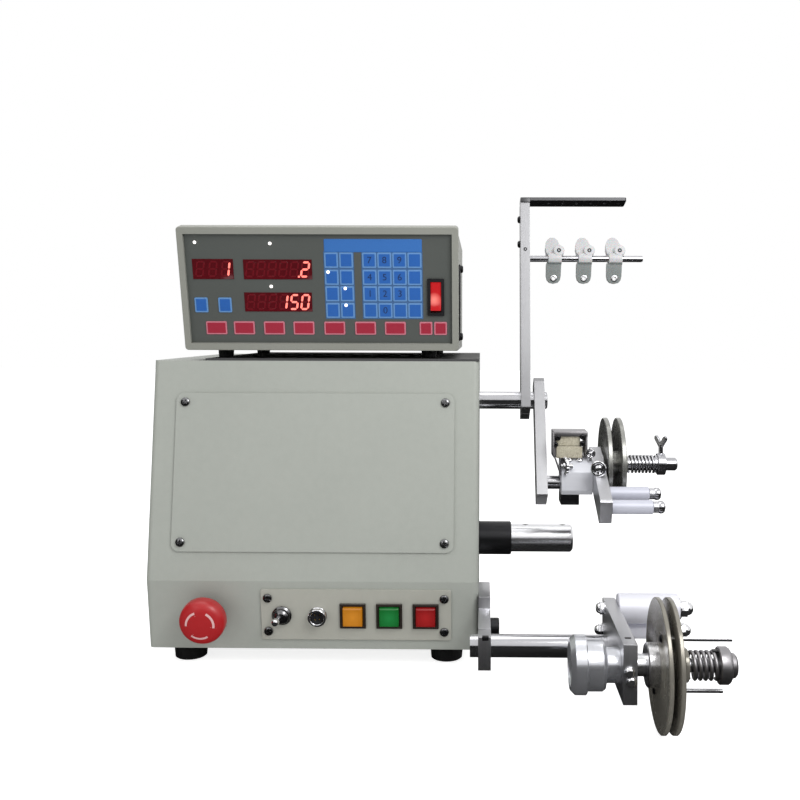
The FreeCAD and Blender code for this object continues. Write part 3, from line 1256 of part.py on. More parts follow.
def tension_wheel():
    bore = "axle_radius + running_gap"
    left = "(bar_x - brake_flange - brake_body - 8.5)"
    brake = turned("brake_body", "x", [
        (left, 0), (left, "brake_radius - 1"), (f"{left} + 1", "brake_radius"),
        (f"{left} + brake_flange", "brake_radius"),
        (f"{left} + brake_flange", "brake_mid_radius"),
        (f"{left} + brake_flange + brake_body", "brake_mid_radius"),
        (f"{left} + brake_flange + brake_body", "brake_neck_radius"),
        ("bar_x", "brake_neck_radius"), ("bar_x", bore), ("bar_x - 12", bore), ("bar_x - 12", 0)])
    place(brake, 0, AXLE_Y, "axle_rise")
    node(brake, "brake_body")
    face = "(bar_x + bar_thick + hub_gap)"
    disc_start = f"({face} + hub_length)"
    disc_end = f"({disc_start} + 2 * disc_thick + disc_gap)"
    spring_start = f"({disc_end} + collar_length)"
    nut_start = f"({spring_start} + spring_length)"
    hub = turned("wheel_hub", "x", [
        ("bar_x - 11.6", 0), ("bar_x - 11.6", "axle_radius"), (face, "axle_radius"),
        (face, "hub_radius - 1"), (f"{face} + 1", "hub_radius"), (disc_start, "hub_radius"),
        (disc_start, "thread_radius"), (f"{nut_start} + nut_length + 3", "thread_radius"),
        (f"{nut_start} + nut_length + 3", 0)])
    pins = sketch(hub, "YZ_Plane", lift=f"{disc_start} - 0.5")
    for y, z in PIN_SPOTS:
        circle(pins, y, z, "pin_radius")
    pad(hub, pins, f"pin_reach + bar_x - {disc_start}")
    place(hub, 0, AXLE_Y, "axle_rise")
    node(hub, "wheel_hub")
    bore = "thread_radius + seat_gap"
    discs = disc_pair("big_disc", "disc_radius", "disc_thick", "disc_gap", "disc_dish", bore,
                      disc_start)
    for disc in discs:
        holes = sketch(disc, "YZ_Plane")
        for y, z in PIN_SPOTS:
            circle(holes, y, z, "pin_radius + seat_gap")
        pocket(disc, holes)
    seat_ring = turned("spring_seat", "x", [
        (disc_end, bore), (disc_end, "collar_radius - 2"),
        (f"{spring_start} - 3", "collar_radius - 2"), (f"{spring_start} - 3", "collar_radius"),
        (spring_start, "collar_radius"), (spring_start, bore)])
    felt = turned("felt_ring", "x", [
        (f"{disc_start} + disc_thick", bore), (f"{disc_start} + disc_thick", "felt_radius"),
        (f"{disc_start} + disc_thick + disc_gap", "felt_radius"),
        (f"{disc_start} + disc_thick + disc_gap", bore)])
    for piece in discs + [seat_ring, felt]:
        place(piece, 0, AXLE_Y, "axle_rise")
    node(compound("big_wheel_discs", discs + [seat_ring, felt]), "big_wheel_discs")
    spring = coil_spring("wheel_spring", "spring_radius", "spring_wire", "spring_length",
                         "spring_turns")
    place(spring, f"{spring_start} + spring_wire", AXLE_Y, "axle_rise", 90, (0, 1, 0))
    node(spring, "wheel_spring")
    nut = turned("wheel_nut", "x", [
        (nut_start, "thread_radius"), (nut_start, "nut_radius"),
        (f"{nut_start} + nut_length", "nut_radius"), (f"{nut_start} + nut_length", "cap_radius"),
        (f"{nut_start} + nut_length + cap_length", "cap_radius * 0.6"),
        (f"{nut_start} + nut_length + cap_length", 0), (f"{nut_start} + nut_length + 3", 0),
        (f"{nut_start} + nut_length + 3", "thread_radius")])
    place(nut, 0, AXLE_Y, "axle_rise")
    node(nut, "wheel_nut")


def build():
    case_shell()
    cover_plate()
    switch_plate()
    rear_panel()
    case_screws()
    rubber_feet()
    top_mat()
    emergency_stop()
    push_buttons()
    toggle_switch()
    pedal_socket()
    controller_case()
    controller_front()
    power_switch()
    spindle_unit()
    belt_drive()
    traverse_unit()
    stand_unit()
    guide_arm()
    head_unit()
    felt_unit()
    small_wheel()
    rod_bracket()
    tension_arm()
    tension_wheel()


def check_and_write():
    doc.recompute()
    for item in doc.Objects:
        if "Invalid" in item.State or "Error" in item.State:
            raise RuntimeError(f"{item.Name} ({item.Label}) failed: {item.State}")
    for piece in NODES:
        if piece.Shape.isNull() or not piece.Shape.isValid():
            raise RuntimeError(f"{piece.Label} has no valid shape")
    os.makedirs("parts", exist_ok=True)
    for piece in NODES:
        piece.Shape.exportStep(os.path.join("parts", f"{piece.Label}.step"))


build()
check_and_write()
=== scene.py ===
import math

import bmesh
import bpy
from mathutils import Matrix, Vector


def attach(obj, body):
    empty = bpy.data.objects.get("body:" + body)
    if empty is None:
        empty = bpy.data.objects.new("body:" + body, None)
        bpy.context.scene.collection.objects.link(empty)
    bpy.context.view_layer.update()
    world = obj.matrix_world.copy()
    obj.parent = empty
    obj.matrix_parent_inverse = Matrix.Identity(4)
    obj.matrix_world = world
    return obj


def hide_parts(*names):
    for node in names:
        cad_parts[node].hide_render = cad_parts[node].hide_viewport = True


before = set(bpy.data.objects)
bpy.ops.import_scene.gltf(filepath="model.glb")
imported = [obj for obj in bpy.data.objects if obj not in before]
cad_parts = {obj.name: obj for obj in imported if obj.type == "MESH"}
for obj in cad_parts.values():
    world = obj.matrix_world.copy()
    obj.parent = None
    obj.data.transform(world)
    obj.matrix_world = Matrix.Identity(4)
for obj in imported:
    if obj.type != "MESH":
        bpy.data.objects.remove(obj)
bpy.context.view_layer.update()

bl_info = {
    "name": "Coil winder dressing",
    "version": (1, 0, 0),
    "blender": (4, 5, 0),
    "location": "3D View > Sidebar > Winder",
    "description": "Builds the visible pieces and finishes of a bench coil winder over its solids",
    "category": "Object",
}

# Pieces are modelled in millimetres about the origin and seated in metres.
MM = 0.001
TURN = math.tau
QUARTER = math.pi / 2
X, Y, Z = Vector((1, 0, 0)), Vector((0, 1, 0)), Vector((0, 0, 1))
AXES = {"x": X, "y": Y, "z": Z}
# Vertices closer than this are one, and a normal with a lower Y than this faces the front.
WELD, LOOKS_FRONT = 0.002, -0.9

# Each place is an origin in millimetres with a lean about X in degrees.
PLACES = {
    "world": ((0, 0, 0), 0),
    "upper": ((0, -128, 77), -math.degrees(math.atan(25 / 189))),
    "lower": ((0, -128, 77), math.degrees(math.atan(10 / 61))),
    "control": ((4.5, -102, 275), math.degrees(math.atan(28 / 106))),
    "stand": ((181.5, -62, 229), -10),
    "head": ((215, -102, 159.718), 0),
    "finger": ((242, -94, 175.218), 22),
    "small": ((0, -94, 175.218), 0),
    "wheel": ((3, -258, 53), 0),
}
# The places above start from the middle of the case, and this leads to the frame's own start.
SHIFT = (-93.3, 87.5, 0)

# Centres that several pieces share, in millimetres of their place.
BUTTONS = {"amber": 35.3, "green": 66.7, "red": 98.1}
SWITCH_Y, SWITCH_Z = -1.5, -30
TOGGLE_X, SOCKET_X = -26, 5
FACE_Y = 3.0
GUIDE_X, GUIDE_PITCH, GUIDE_Z, EYE_Z = 31.3, 28.5, 134, -18.4
BRACKET_X, ARM_X = 143.5, 245.5
ROD_YZ, AXLE_YZ = (-188, 43), (-258, 53)
ARM_ROLLERS = {"upper": (-174, 69.5), "lower": (-166, 49.5)}

WHITE = (1, 1, 1, 1)
CAMERA_AT = (0.0525, -0.8592, 0.2945)
CAMERA_YAW, CAMERA_PITCH, CAMERA_ROLL = 0.0122, 0.0186, 0.0032
CAMERA_SHIFT, SENSOR_WIDTH = (-0.0879, -0.0664), 36


# --- modelling helpers --------------------------------------------------------------------

def deselect():
    if bpy.context.object and bpy.context.object.mode != "OBJECT":
        bpy.ops.object.mode_set(mode="OBJECT")
    bpy.ops.object.select_all(action="DESELECT")


def named(name):
    piece = bpy.context.object
    piece.name = name
    piece.data.name = name
    return piece


def pick(piece):
    deselect()
    piece.select_set(True)
    bpy.context.view_layer.objects.active = piece


def edit(piece):
    pick(piece)
    bpy.ops.object.mode_set(mode="EDIT")
    bpy.ops.mesh.select_all(action="SELECT")


def done():
    bpy.ops.object.mode_set(mode="OBJECT")


def face_out():
    """Turns every face of the piece being edited outwards and leaves edit mode."""
    bpy.ops.mesh.select_all(action="SELECT")
    bpy.ops.mesh.normals_make_consistent(inside=False)
    done()


def settle():
    """Takes the active piece's place, turn and size into its mesh."""
    bpy.ops.object.transform_apply(location=True, rotation=True, scale=True)


def discard(piece):
    bpy.data.objects.remove(piece, do_unlink=True)


def select_front(piece):
    """In edit mode, selects just the faces that look towards -Y."""
    bpy.ops.mesh.select_mode(type="FACE")
    bpy.ops.mesh.select_all(action="DESELECT")
    mesh = bmesh.from_edit_mesh(piece.data)
    for face in mesh.faces:
        face.select_set(face.normal.y < LOOKS_FRONT)
    bmesh.update_edit_mesh(piece.data)


def step_front(piece, *steps):
    """Insets the front face by each step's width, then shifts it along Y."""
    edit(piece)
    select_front(piece)
    for width, shift in steps:
        bpy.ops.mesh.inset(thickness=width)
        bpy.ops.transform.translate(value=(0, shift, 0))
    done()


def trace(name, corners):
    """A chain of vertices through the corners, left in edit mode with all of it selected."""
    deselect()
    bpy.ops.mesh.primitive_plane_add(size=1)
    piece = named(name)
    bpy.ops.object.mode_set(mode="EDIT")
    bpy.ops.mesh.select_mode(type="VERT")
    bpy.ops.mesh.select_all(action="SELECT")
    bpy.ops.mesh.merge(type="CENTER")
    spots = [Vector(corner) for corner in corners]
    bpy.ops.transform.translate(value=spots[0])
    for last, spot in zip(spots, spots[1:]):
        bpy.ops.mesh.extrude_vertices_move(TRANSFORM_OT_translate={"value": spot - last})
    bpy.ops.mesh.select_all(action="SELECT")
    return piece


def turned(name, profile, axis="x", steps=64, ring=False):
    """Spins (along, radius) pairs about an axis through the origin."""
    spots = [{"x": (a, r, 0), "y": (r, a, 0), "z": (r, 0, a)}[axis] for a, r in profile]
    if ring:
        spots.append(spots[0])
    piece = trace(name, spots)
    bpy.ops.mesh.spin(steps=steps, angle=TURN, center=(0, 0, 0), axis=AXES[axis])
    bpy.ops.mesh.select_all(action="SELECT")
    bpy.ops.mesh.remove_doubles(threshold=WELD)
    bpy.ops.mesh.delete_loose()
    face_out()
    return piece


def plate(name, outline, depth, plane="xz"):
    """Fills an outline and pushes it depth along the plane's free axis."""
    free = {"xz": Y, "xy": Z, "yz": X}[plane]
    spots = [{"xz": (a, 0, b), "xy": (a, b, 0), "yz": (0, a, b)}[plane] for a, b in outline]
    piece = trace(name, spots)
    bpy.ops.mesh.edge_face_add()
    bpy.ops.mesh.select_all(action="SELECT")
    bpy.ops.mesh.extrude_region_move(TRANSFORM_OT_translate={"value": free * depth})
    face_out()
    return piece


def slab(name, low, high):
    """A block between two corners, from a cube."""
    low, high = Vector(low), Vector(high)
    deselect()
    bpy.ops.mesh.primitive_cube_add(size=1, location=(low + high) / 2)
    piece = named(name)
    piece.scale = high - low
    settle()
    return piece


def bar(name, radius, length, sides=32, axis="x", start=(0, 0, 0)):
    """A round or many-sided bar that runs along an axis from its start."""
    deselect()
    bpy.ops.mesh.primitive_cylinder_add(vertices=sides, radius=radius, depth=length)
    piece = named(name)
    piece.rotation_euler = {"x": (0, QUARTER, 0), "y": (-QUARTER, 0, 0), "z": (0, 0, 0)}[axis]
    piece.location = Vector(start) + AXES[axis] * length / 2
    settle()
    return piece


def modify(piece, kind, **settings):
    pick(piece)
    bpy.ops.object.modifier_add(type=kind)
    made = piece.modifiers[-1]
    for key, value in settings.items():
        setattr(made, key, value)
    bpy.ops.object.modifier_apply(modifier=made.name)
    return piece


def bevel(piece, width, segments=2, angle=30):
    return modify(piece, "BEVEL", width=width, segments=segments, limit_method="ANGLE",
                  angle_limit=math.radians(angle), use_clamp_overlap=True)


def cut(piece, *tools):
    """Takes the tools out of a piece and removes them."""
    for tool in tools:
        modify(piece, "BOOLEAN", operation="DIFFERENCE", object=tool, solver="EXACT")
        discard(tool)
    return piece


def fuse(name, pieces):
    deselect()
    for piece in pieces:
        piece.select_set(True)
    bpy.context.view_layer.objects.active = pieces[0]
    bpy.ops.object.join()
    return named(name)


def copy_of(piece, name):
    made = piece.copy()
    made.data = piece.data.copy()
    made.name = made.data.name = name
    bpy.context.scene.collection.objects.link(made)
    return made


def move(piece, x=0, y=0, z=0, turn=0, axis="X"):
    """Turns a piece about an axis through the origin, then moves it, still in millimetres."""
    pick(piece)
    piece.matrix_world = Matrix.Translation((x, y, z)) @ Matrix.Rotation(
        math.radians(turn), 4, axis)
    settle()
    return piece


def place_matrix(place):
    """Leads from a place's own millimetres to metres in the machine's frame."""
    origin, lean = PLACES[place]
    return (Matrix.Scale(MM, 4) @ Matrix.Translation(SHIFT) @ Matrix.Translation(origin)
            @ Matrix.Rotation(math.radians(lean), 4, "X"))


def front_of(place, at):
    """The point in metres, in the machine's frame, of a place's own millimetres."""
    return tuple(place_matrix(place) @ Vector(at))


def seat(piece, place="world", at=(0, 0, 0), smooth=35):
    """Sets a piece modelled in millimetres at its place on the machine, in metres."""
    modify(piece, "TRIANGULATE", min_vertices=5)
    piece.matrix_world = place_matrix(place) @ Matrix.Translation(at)
    settle()
    bpy.ops.object.shade_smooth_by_angle(angle=math.radians(smooth))
    return piece


def dress(piece, finish, body, slot, *nodes):
    """Gives a piece its finish, the body it rides on, and the solids it stands for."""
    if finish:
        piece.data.materials.clear()
        piece.data.materials.append(FINISH[finish])
    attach(piece, body)
    if nodes:
        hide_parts(*nodes)
    return piece


def coat(node, finish):
    """A new finish on a solid that keeps its shape."""
    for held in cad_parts[node].material_slots:
        held.material = finish


# --- shared surface effects ---------------------------------------------------------------

def group(name, inputs, outputs):
    tree = bpy.data.node_groups.new(name, "ShaderNodeTree")
    for label, kind, value in inputs:
        made = tree.interface.new_socket(name=label, in_out="INPUT",
                                         socket_type=f"NodeSocket{kind}")
        made.default_value = value
    for label, kind in outputs:
        tree.interface.new_socket(name=label, in_out="OUTPUT", socket_type=f"NodeSocket{kind}")
    source = tree.nodes.new("NodeGroupInput")
    target = tree.nodes.new("NodeGroupOutput")
    return tree, source, target


def feed(tree, socket, value):
    """Sets a socket, or links it when the value is a (node, output) pair."""
    if isinstance(value, tuple) and isinstance(value[0], bpy.types.Node):
        tree.links.new(value[0].outputs[value[1]], socket)
    else:
        socket.default_value = value


def wire(tree, node, **given):
    """Feeds a node's inputs by their names."""
    for key, value in given.items():
        feed(tree, node.inputs[key.replace("_", " ")], value)


def add(tree, kind, **given):
    """Adds a shader node, with its settings and inputs by name or as in0, in1 and so on."""
    made = tree.nodes.new("ShaderNode" + kind)
    for key, value in given.items():
        label = key.replace("_", " ")
        socket = next((s for s in made.inputs if s.name == label and s.enabled), None)
        if key.startswith("in") and key[2:].isdigit():
            socket = made.inputs[int(key[2:])]
        if socket is None:
            setattr(made, key, value)
        else:
            feed(tree, socket, value)
    return made


def math_node(tree, operation, *values, clamp=False):
    made = add(tree, "Math", operation=operation, use_clamp=clamp)
    for socket, value in zip(made.inputs, values):
        feed(tree, socket, value)
    return made


def noise(tree, vector, scale, detail, **given):
    return add(tree, "TexNoise", Vector=vector, Scale=scale, Detail=detail, **given)


def ramp(tree, factor, stops):
    made = add(tree, "ValToRGB", in0=factor)
    ends = made.color_ramp.elements
    while len(ends) < len(stops):
        ends.new(0.5)
    for stop, (place, value) in zip(ends, stops):
        stop.position = place
        stop.color = (*value, 1)
    return made


def pattern_group(name, control, contrast, broad_scale, broad_detail, fine_noise):
    """A shade about one and a height, from a fine noise over a broad one."""
    tree, source, target = group(name, [control, ("Contrast", "Float", contrast)],
                                 [("Shade", "Float"), ("Height", "Float")])
    spot = add(tree, "TexCoord")
    fine = fine_noise(tree, (spot, "Object"), (source, control[0]))
    broad = noise(tree, (spot, "Object"), broad_scale, broad_detail)
    both = math_node(tree, "ADD", (fine, "Fac"), (broad, "Fac"))
    centred = math_node(tree, "SUBTRACT", (both, 0), 1.0)
    shade = math_node(tree, "MULTIPLY_ADD", (centred, 0), (source, "Contrast"), 1.0)
    wire(tree, target, Shade=(shade, 0), Height=(fine, "Fac"))
    return tree


def speckle(tree, spot, scale):
    return noise(tree, spot, scale, 3.0)


def lines(tree, spot, stretch):
    """Noise drawn out along one axis, as fine lines."""
    drawn = add(tree, "VectorMath", operation="MULTIPLY", in0=spot, in1=stretch)
    return noise(tree, (drawn, 0), 1.0, 4.0, Roughness=0.6)


def mask_group(name, amount, scale, detail, where):
    """A mask from a noise, kept to where a function of the two allows it."""
    tree, source, target = group(name, [("Amount", "Float", amount)], [("Mask", "Float")])
    shape = add(tree, "NewGeometry")
    spot = add(tree, "TexCoord")
    broken = where(tree, shape, noise(tree, (spot, "Object"), scale, detail))
    scaled = math_node(tree, "MULTIPLY", (broken, 0), (source, "Amount"), clamp=True)
    wire(tree, target, Mask=(scaled, 0))
    return tree


def along_edges(tree, shape, patches):
    edge = add(tree, "MapRange", Value=(shape, "Pointiness"), From_Min=0.52, From_Max=0.6)
    return math_node(tree, "MULTIPLY", (edge, 0), (patches, "Fac"))


def facing_up(tree, shape, patches):
    up = add(tree, "SeparateXYZ", Vector=(shape, "Normal"))
    patchy = add(tree, "MapRange", Value=(patches, "Fac"), From_Min=0.35, From_Max=0.7)
    return math_node(tree, "MULTIPLY", (up, "Z"), (patchy, 0), clamp=True)


GROUPS = {}


def effect(tree, name, **given):
    return add(tree, "Group", node_tree=GROUPS[name], **given)


# --- finishes -----------------------------------------------------------------------------

def blank(name):
    finish = bpy.data.materials.new(name)
    finish.use_nodes = True
    tree = finish.node_tree
    tree.nodes.clear()
    shader = tree.nodes.new("ShaderNodeBsdfPrincipled")
    out = tree.nodes.new("ShaderNodeOutputMaterial")
    tree.links.new(shader.outputs[0], out.inputs[0])
    return finish, tree, shader


def rgba(colour):
    return (*colour, 1)


def tint(tree, colour, shade):
    """A colour multiplied by a shade that varies over the surface."""
    return add(tree, "Mix", data_type="RGBA", blend_type="MULTIPLY", in0=1.0,
               in6=rgba(colour), in7=shade)


def over(tree, below, above, mask):
    """One colour laid over another where the mask is high."""
    return add(tree, "Mix", data_type="RGBA", in0=mask, in6=below, in7=above)


def bump(tree, shader, height, strength, distance, edge=0.0):
    """Feeds a height to the normal, with edges rounded by a hair."""
    made = add(tree, "Bump", Height=height, Strength=strength, Distance=distance)
    if edge:
        wire(tree, made, Normal=(add(tree, "Bevel", samples=4, Radius=edge), 0))
    wire(tree, shader, Normal=(made, 0))


def surface(name, colour, pattern, rough, relief, depth, edge, wear=0.0, bright=1.3,
            dusty=0.0, dust=(0.42, 0.41, 0.38), **inputs):
    """A finish from a pattern, with worn edges and settled dust over its colour."""
    finish, tree, shader = blank(name)
    kind, settings = pattern
    marks = effect(tree, kind, **settings)
    base = tint(tree, colour, (marks, "Shade"))
    if wear:
        worn = effect(tree, "wear", Amount=wear)
        base = over(tree, (base, 2), rgba([min(1, c * bright) for c in colour]),
                    (worn, "Mask"))
    if dusty:
        fallen = effect(tree, "dust", Amount=dusty)
        base = over(tree, (base, 2), rgba(dust), (fallen, "Mask"))
    roughness = math_node(tree, "MULTIPLY", (marks, "Shade"), rough)
    wire(tree, shader, Base_Color=(base, 2), Roughness=(roughness, 0), **inputs)
    bump(tree, shader, (marks, "Height"), relief, depth, edge)
    return finish


def powder_coat(name, colour, edge=0.0006):
    return surface(name, colour, ("grain", dict(Scale=1400.0, Contrast=0.10)), 0.42, 0.22,
                   0.0003, edge, wear=0.35, bright=1.25, dusty=0.12, dust=(0.5, 0.49, 0.45))


def metal(name, colour, rough, stretch, contrast, relief, metallic=1.0):
    """Metal with fine lines drawn out along one axis."""
    return surface(name, colour, ("lines", dict(Stretch=stretch, Contrast=contrast)), rough,
                   relief, 0.0002, 0.0003, wear=0.3, Metallic=metallic)


def moulded(name, colour, rough=0.4, scale=700.0, contrast=0.12, relief=0.1, coat_weight=0.0,
            soft=0.0, dusty=0.1):
    """Moulded plastic or rubber with a fine texture."""
    return surface(name, colour, ("grain", dict(Scale=scale, Contrast=contrast)), rough,
                   relief, 0.0003, 0.0003, dusty=dusty, Coat_Weight=coat_weight,
                   Coat_Roughness=0.12, Subsurface_Weight=soft, Subsurface_Scale=0.004)


def lit(name, colour, glow, strength, centre=(0, 0, 0), reach=0.01):
    """A translucent lamp face, hottest at its centre."""
    finish, tree, shader = blank(name)
    spot = add(tree, "TexCoord")
    placed = add(tree, "VectorMath", operation="DISTANCE", in0=(spot, "Object"), in1=centre)
    fade = add(tree, "MapRange", Value=(placed, "Value"), From_Min=0.0, From_Max=reach,
               To_Min=1.0, To_Max=0.0)
    grain = effect(tree, "grain", Scale=500.0, Contrast=0.15)
    base = tint(tree, colour, (grain, "Shade"))
    hot = over(tree, rgba(colour), rgba(glow), (fade, 0))
    wire(tree, shader, Base_Color=(base, 2), Emission_Color=(hot, 2),
         Emission_Strength=strength, Roughness=0.25, Coat_Weight=0.5)
    return finish


def felt_finish():
    finish, tree, shader = blank("Wool felt")
    spot = add(tree, "TexCoord")
    fibres = noise(tree, (spot, "Object"), 900.0, 8.0, Distortion=1.5)
    tone = ramp(tree, (fibres, "Fac"), [(0.3, (0.32, 0.29, 0.20)), (0.7, (0.66, 0.62, 0.50))])
    wire(tree, shader, Base_Color=(tone, 0), Roughness=0.95, Sheen_Weight=0.4)
    bump(tree, shader, (fibres, "Fac"), 0.6, 0.0006)
    return finish


FINISH = {}


def lens_centre(button):
    return front_of("lower", (BUTTONS[button], -6.5, SWITCH_Z))


def make_finishes(look):
    GROUPS.update(
        grain=pattern_group("Surface grain", ("Scale", "Float", 900.0), 0.1, 14.0, 4.0, speckle),
        lines=pattern_group("Machining lines", ("Stretch", "Vector", (8.0, 900.0, 900.0)), 0.2,
                            30.0, 3.0, lines),
        wear=mask_group("Edge wear", 0.5, 160.0, 5.0, along_edges),
        dust=mask_group("Settled dust", 0.2, 55.0, 6.0, facing_up),
    )
    FINISH.update(
        case=powder_coat("Body powder coat", look.case_colour),
        lower=powder_coat("Plate powder coat", look.plate_colour),
        controller=powder_coat("Controller powder coat", look.controller_colour, 0.0004),
        film=moulded("Printed panel film", look.panel_colour, 0.45, 2200.0, 0.08, 0.05),
        window=moulded("Display filter", (0.10, 0.004, 0.008), 0.12, 300.0, 0.1, 0.0,
                       coat_weight=0.6),
        segment_off=moulded("Unlit segment", (0.16, 0.006, 0.012), 0.2, 300.0, 0.1, 0.0),
        segment=lit("Lit segment", (1.0, 0.20, 0.16), (1.0, 0.32, 0.22), 1.1),
        blue=moulded("Blue key edge", (0.13, 0.30, 0.60), 0.35, 1500.0, 0.1, 0.06),
        blue_face=moulded("Blue key face", (0.022, 0.13, 0.47), 0.3, 1500.0, 0.2, 0.06),
        field=moulded("Key field", (0.06, 0.15, 0.33), 0.4, 1500.0, 0.1, 0.05),
        red=moulded("Red key edge", (0.62, 0.19, 0.25), 0.35, 1500.0, 0.1, 0.06),
        red_face=moulded("Red key face", (0.40, 0.022, 0.05), 0.3, 1500.0, 0.2, 0.06),
        header=moulded("Header band", (0.035, 0.17, 0.52), 0.4, 1500.0, 0.1, 0.05),
        ink=moulded("Dark print", (0.012, 0.035, 0.12), 0.5, 900.0, 0.05, 0.0),
        led=lit("Status lamp", (1.0, 0.9, 0.85), (1.0, 1.0, 1.0), 1.6, reach=1.0),
        black=moulded("Black moulding", (0.016, 0.016, 0.018), 0.38),
        rubber=moulded("Black rubber", (0.006, 0.006, 0.0065), 0.62, 500.0, 0.2, 0.15),
        # the dark sheet on the case top
        mat=moulded("Dark top sheet", look.top_sheet_colour, 0.7, 600.0, 0.25, 0.3, dusty=0.2),
        stop=moulded("Red stop head", (0.47, 0.008, 0.012), 0.38, 300.0, 0.12, 0.03,
                     coat_weight=0.12),
        arrow=moulded("Pale sign", (0.78, 0.46, 0.46), 0.4, 500.0, 0.08, 0.0),
        steel=metal("Polished steel", (0.53, 0.53, 0.55), 0.16, (6.0, 700.0, 700.0), 0.12,
                    0.03),
        chrome=metal("Chrome plate", (0.80, 0.80, 0.82), 0.07, (200.0, 200.0, 200.0), 0.05,
                     0.01),
        turned=metal("Turned steel", (0.74, 0.74, 0.76), 0.26, (900.0, 60.0, 60.0), 0.1, 0.03),
        dark=metal("Blackened steel", (0.022, 0.022, 0.024), 0.35, (60.0, 600.0, 600.0), 0.35,
                   0.08, metallic=0.75),
        plate=metal("Brushed aluminium", (0.54, 0.54, 0.56), 0.38, (700.0, 700.0, 12.0), 0.18,
                    0.06),
        bar=metal("Brushed bar", (0.33, 0.33, 0.34), 0.38, (700.0, 700.0, 12.0), 0.18, 0.06),
        satin=metal("Satin aluminium", (0.74, 0.75, 0.80), 0.36, (20.0, 500.0, 500.0), 0.1,
                    0.04, metallic=0.15),
        spun=metal("Spun aluminium", (0.68, 0.69, 0.73), 0.24, (900.0, 60.0, 60.0), 0.2,
                   0.06, metallic=0.86),
        screw=metal("Zinc screw", (0.20, 0.20, 0.205), 0.22, (60.0, 600.0, 600.0), 0.2, 0.04),
        drum=metal("Pale drum", (0.84, 0.84, 0.92), 0.42, (8.0, 500.0, 500.0), 0.06, 0.03,
                   metallic=0.1),
        sleeve=metal("Pale sleeve", (0.58, 0.59, 0.67), 0.42, (8.0, 500.0, 500.0), 0.06, 0.03,
                     metallic=0.1),
        strap=metal("Zinc strap", (0.34, 0.33, 0.34), 0.4, (300.0, 40.0, 40.0), 0.25, 0.1),
        disc=metal("Ground disc steel", (0.33, 0.33, 0.31), 0.27, (900.0, 60.0, 60.0), 0.3,
                   0.1, metallic=0.75),
        nylon=moulded("White nylon", (0.60, 0.60, 0.61), 0.42, 260.0, 0.06, 0.04, soft=0.15,
                      dusty=0.05),
        # a darker nylon that paints the shade on the wire guides' lower faces
        smoked=moulded("Shaded nylon", (0.23, 0.25, 0.245), 0.42, 260.0, 0.12, 0.04, soft=0.1,
                       dusty=0.05),
        felt=felt_finish(),
        brass=metal("Turned brass", (0.55, 0.38, 0.14), 0.3, (900.0, 90.0, 90.0), 0.2, 0.1),
        strip=metal("Dull steel strip", (0.085, 0.085, 0.088), 0.4, (12.0, 500.0, 500.0), 0.3,
                    0.1),
        # a darker, browner steel than the small wheel's discs
        big_disc=metal("Dark brown disc steel", (0.26, 0.245, 0.21), 0.26, (900.0, 60.0, 60.0), 0.35,
                       0.1, metallic=0.45),
        tinted=moulded("Tinted bezel", (0.03, 0.022, 0.018), 0.25, coat_weight=0.4),
        amber=lit("Amber lens", (0.40, 0.14, 0.003), (1.0, 0.42, 0.05), 0.28,
                  lens_centre("amber"), 0.011),
        green=lit("Green lens", (0.003, 0.115, 0.015), (0.05, 0.55, 0.16), 0.22,
                  lens_centre("green"), 0.011),
        red_lens=lit("Red lens", (0.21, 0.003, 0.004), (0.95, 0.05, 0.05), 0.22,
                     lens_centre("red"), 0.011),
        rocker=lit("Rocker lens", (0.32, 0.006, 0.008), (1.0, 0.34, 0.28), 0.9,
                   front_of("control", (99.6, 2, 46)), 0.0065),
        board=moulded("Board lacquer", (0.01, 0.12, 0.04), 0.3, 300.0, 0.3, 0.1),
    )


# --- settings -----------------------------------------------------------------------------

def colour_prop(label, text, value):
    return bpy.props.FloatVectorProperty(name=label, description=text, default=value,
                                         subtype="COLOR", min=0, max=1)


class WinderLook(bpy.types.PropertyGroup):
    """Sizes and colours that a user may change."""
    case_colour: colour_prop("Case", "Powder coat of the case", (0.395, 0.415, 0.378))
    plate_colour: colour_prop("Switch plate", "Powder coat of the switch plate",
                              (0.43, 0.43, 0.38))
    controller_colour: colour_prop("Controller", "Powder coat of the controller",
                                   (0.305, 0.31, 0.275))
    panel_colour: colour_prop("Panel", "Film behind the keys", (0.095, 0.104, 0.096))
    # the colour of the dark sheet on the case top
    top_sheet_colour: colour_prop("Mat", "Dark sheet on top of the case", (0.06, 0.06, 0.062))
    key_height: bpy.props.FloatProperty(
        name="Key height", description="How far a key stands out of the film",
        default=0.0006, unit="LENGTH")
    small_spring_turns: bpy.props.IntProperty(
        name="Small spring turns", description="Coils of the guide wheel's spring", default=7)
    wheel_spring_turns: bpy.props.IntProperty(
        name="Wheel spring turns", description="Coils of the tension wheel's spring", default=5)
    lamp_power: bpy.props.FloatProperty(
        name="Lamp power", description="Power of the key lamp", default=7.0, unit="POWER")
    lens: bpy.props.FloatProperty(
        name="Lens", description="Focal length of the camera, in millimetres", default=43.2)


# --- shared small parts -------------------------------------------------------------------

def cross_cutter(size, depth, face):
    """The two arms of a cross, to sink in a screw's head whose face is at y = face."""
    return [slab("cut_arm", (-wide, face - 0.5, -tall), (wide, face + depth, tall))
            for wide, tall in ((size, size * 0.2), (size * 0.2, size))]


def pan_screw(name, radius, height, drive="cross"):
    """A domed head towards -Y from y = 0, with a cross, a hexagon socket or a plain face."""
    head = turned(name, [(0, 0), (0, radius * 0.96), (-height * 0.25, radius),
                         (-height * 0.6, radius * 0.93), (-height * 0.88, radius * 0.7),
                         (-height, radius * 0.4), (-height, 0)], "y", 40)
    if drive == "cross":
        cut(head, *cross_cutter(radius * 0.55, height * 0.45, -height))
    elif drive == "hex":
        cut(head, bar("cut_hex", radius * 0.5, height * 1.1, 6, "y", (0, -height * 1.2, 0)))
    return head


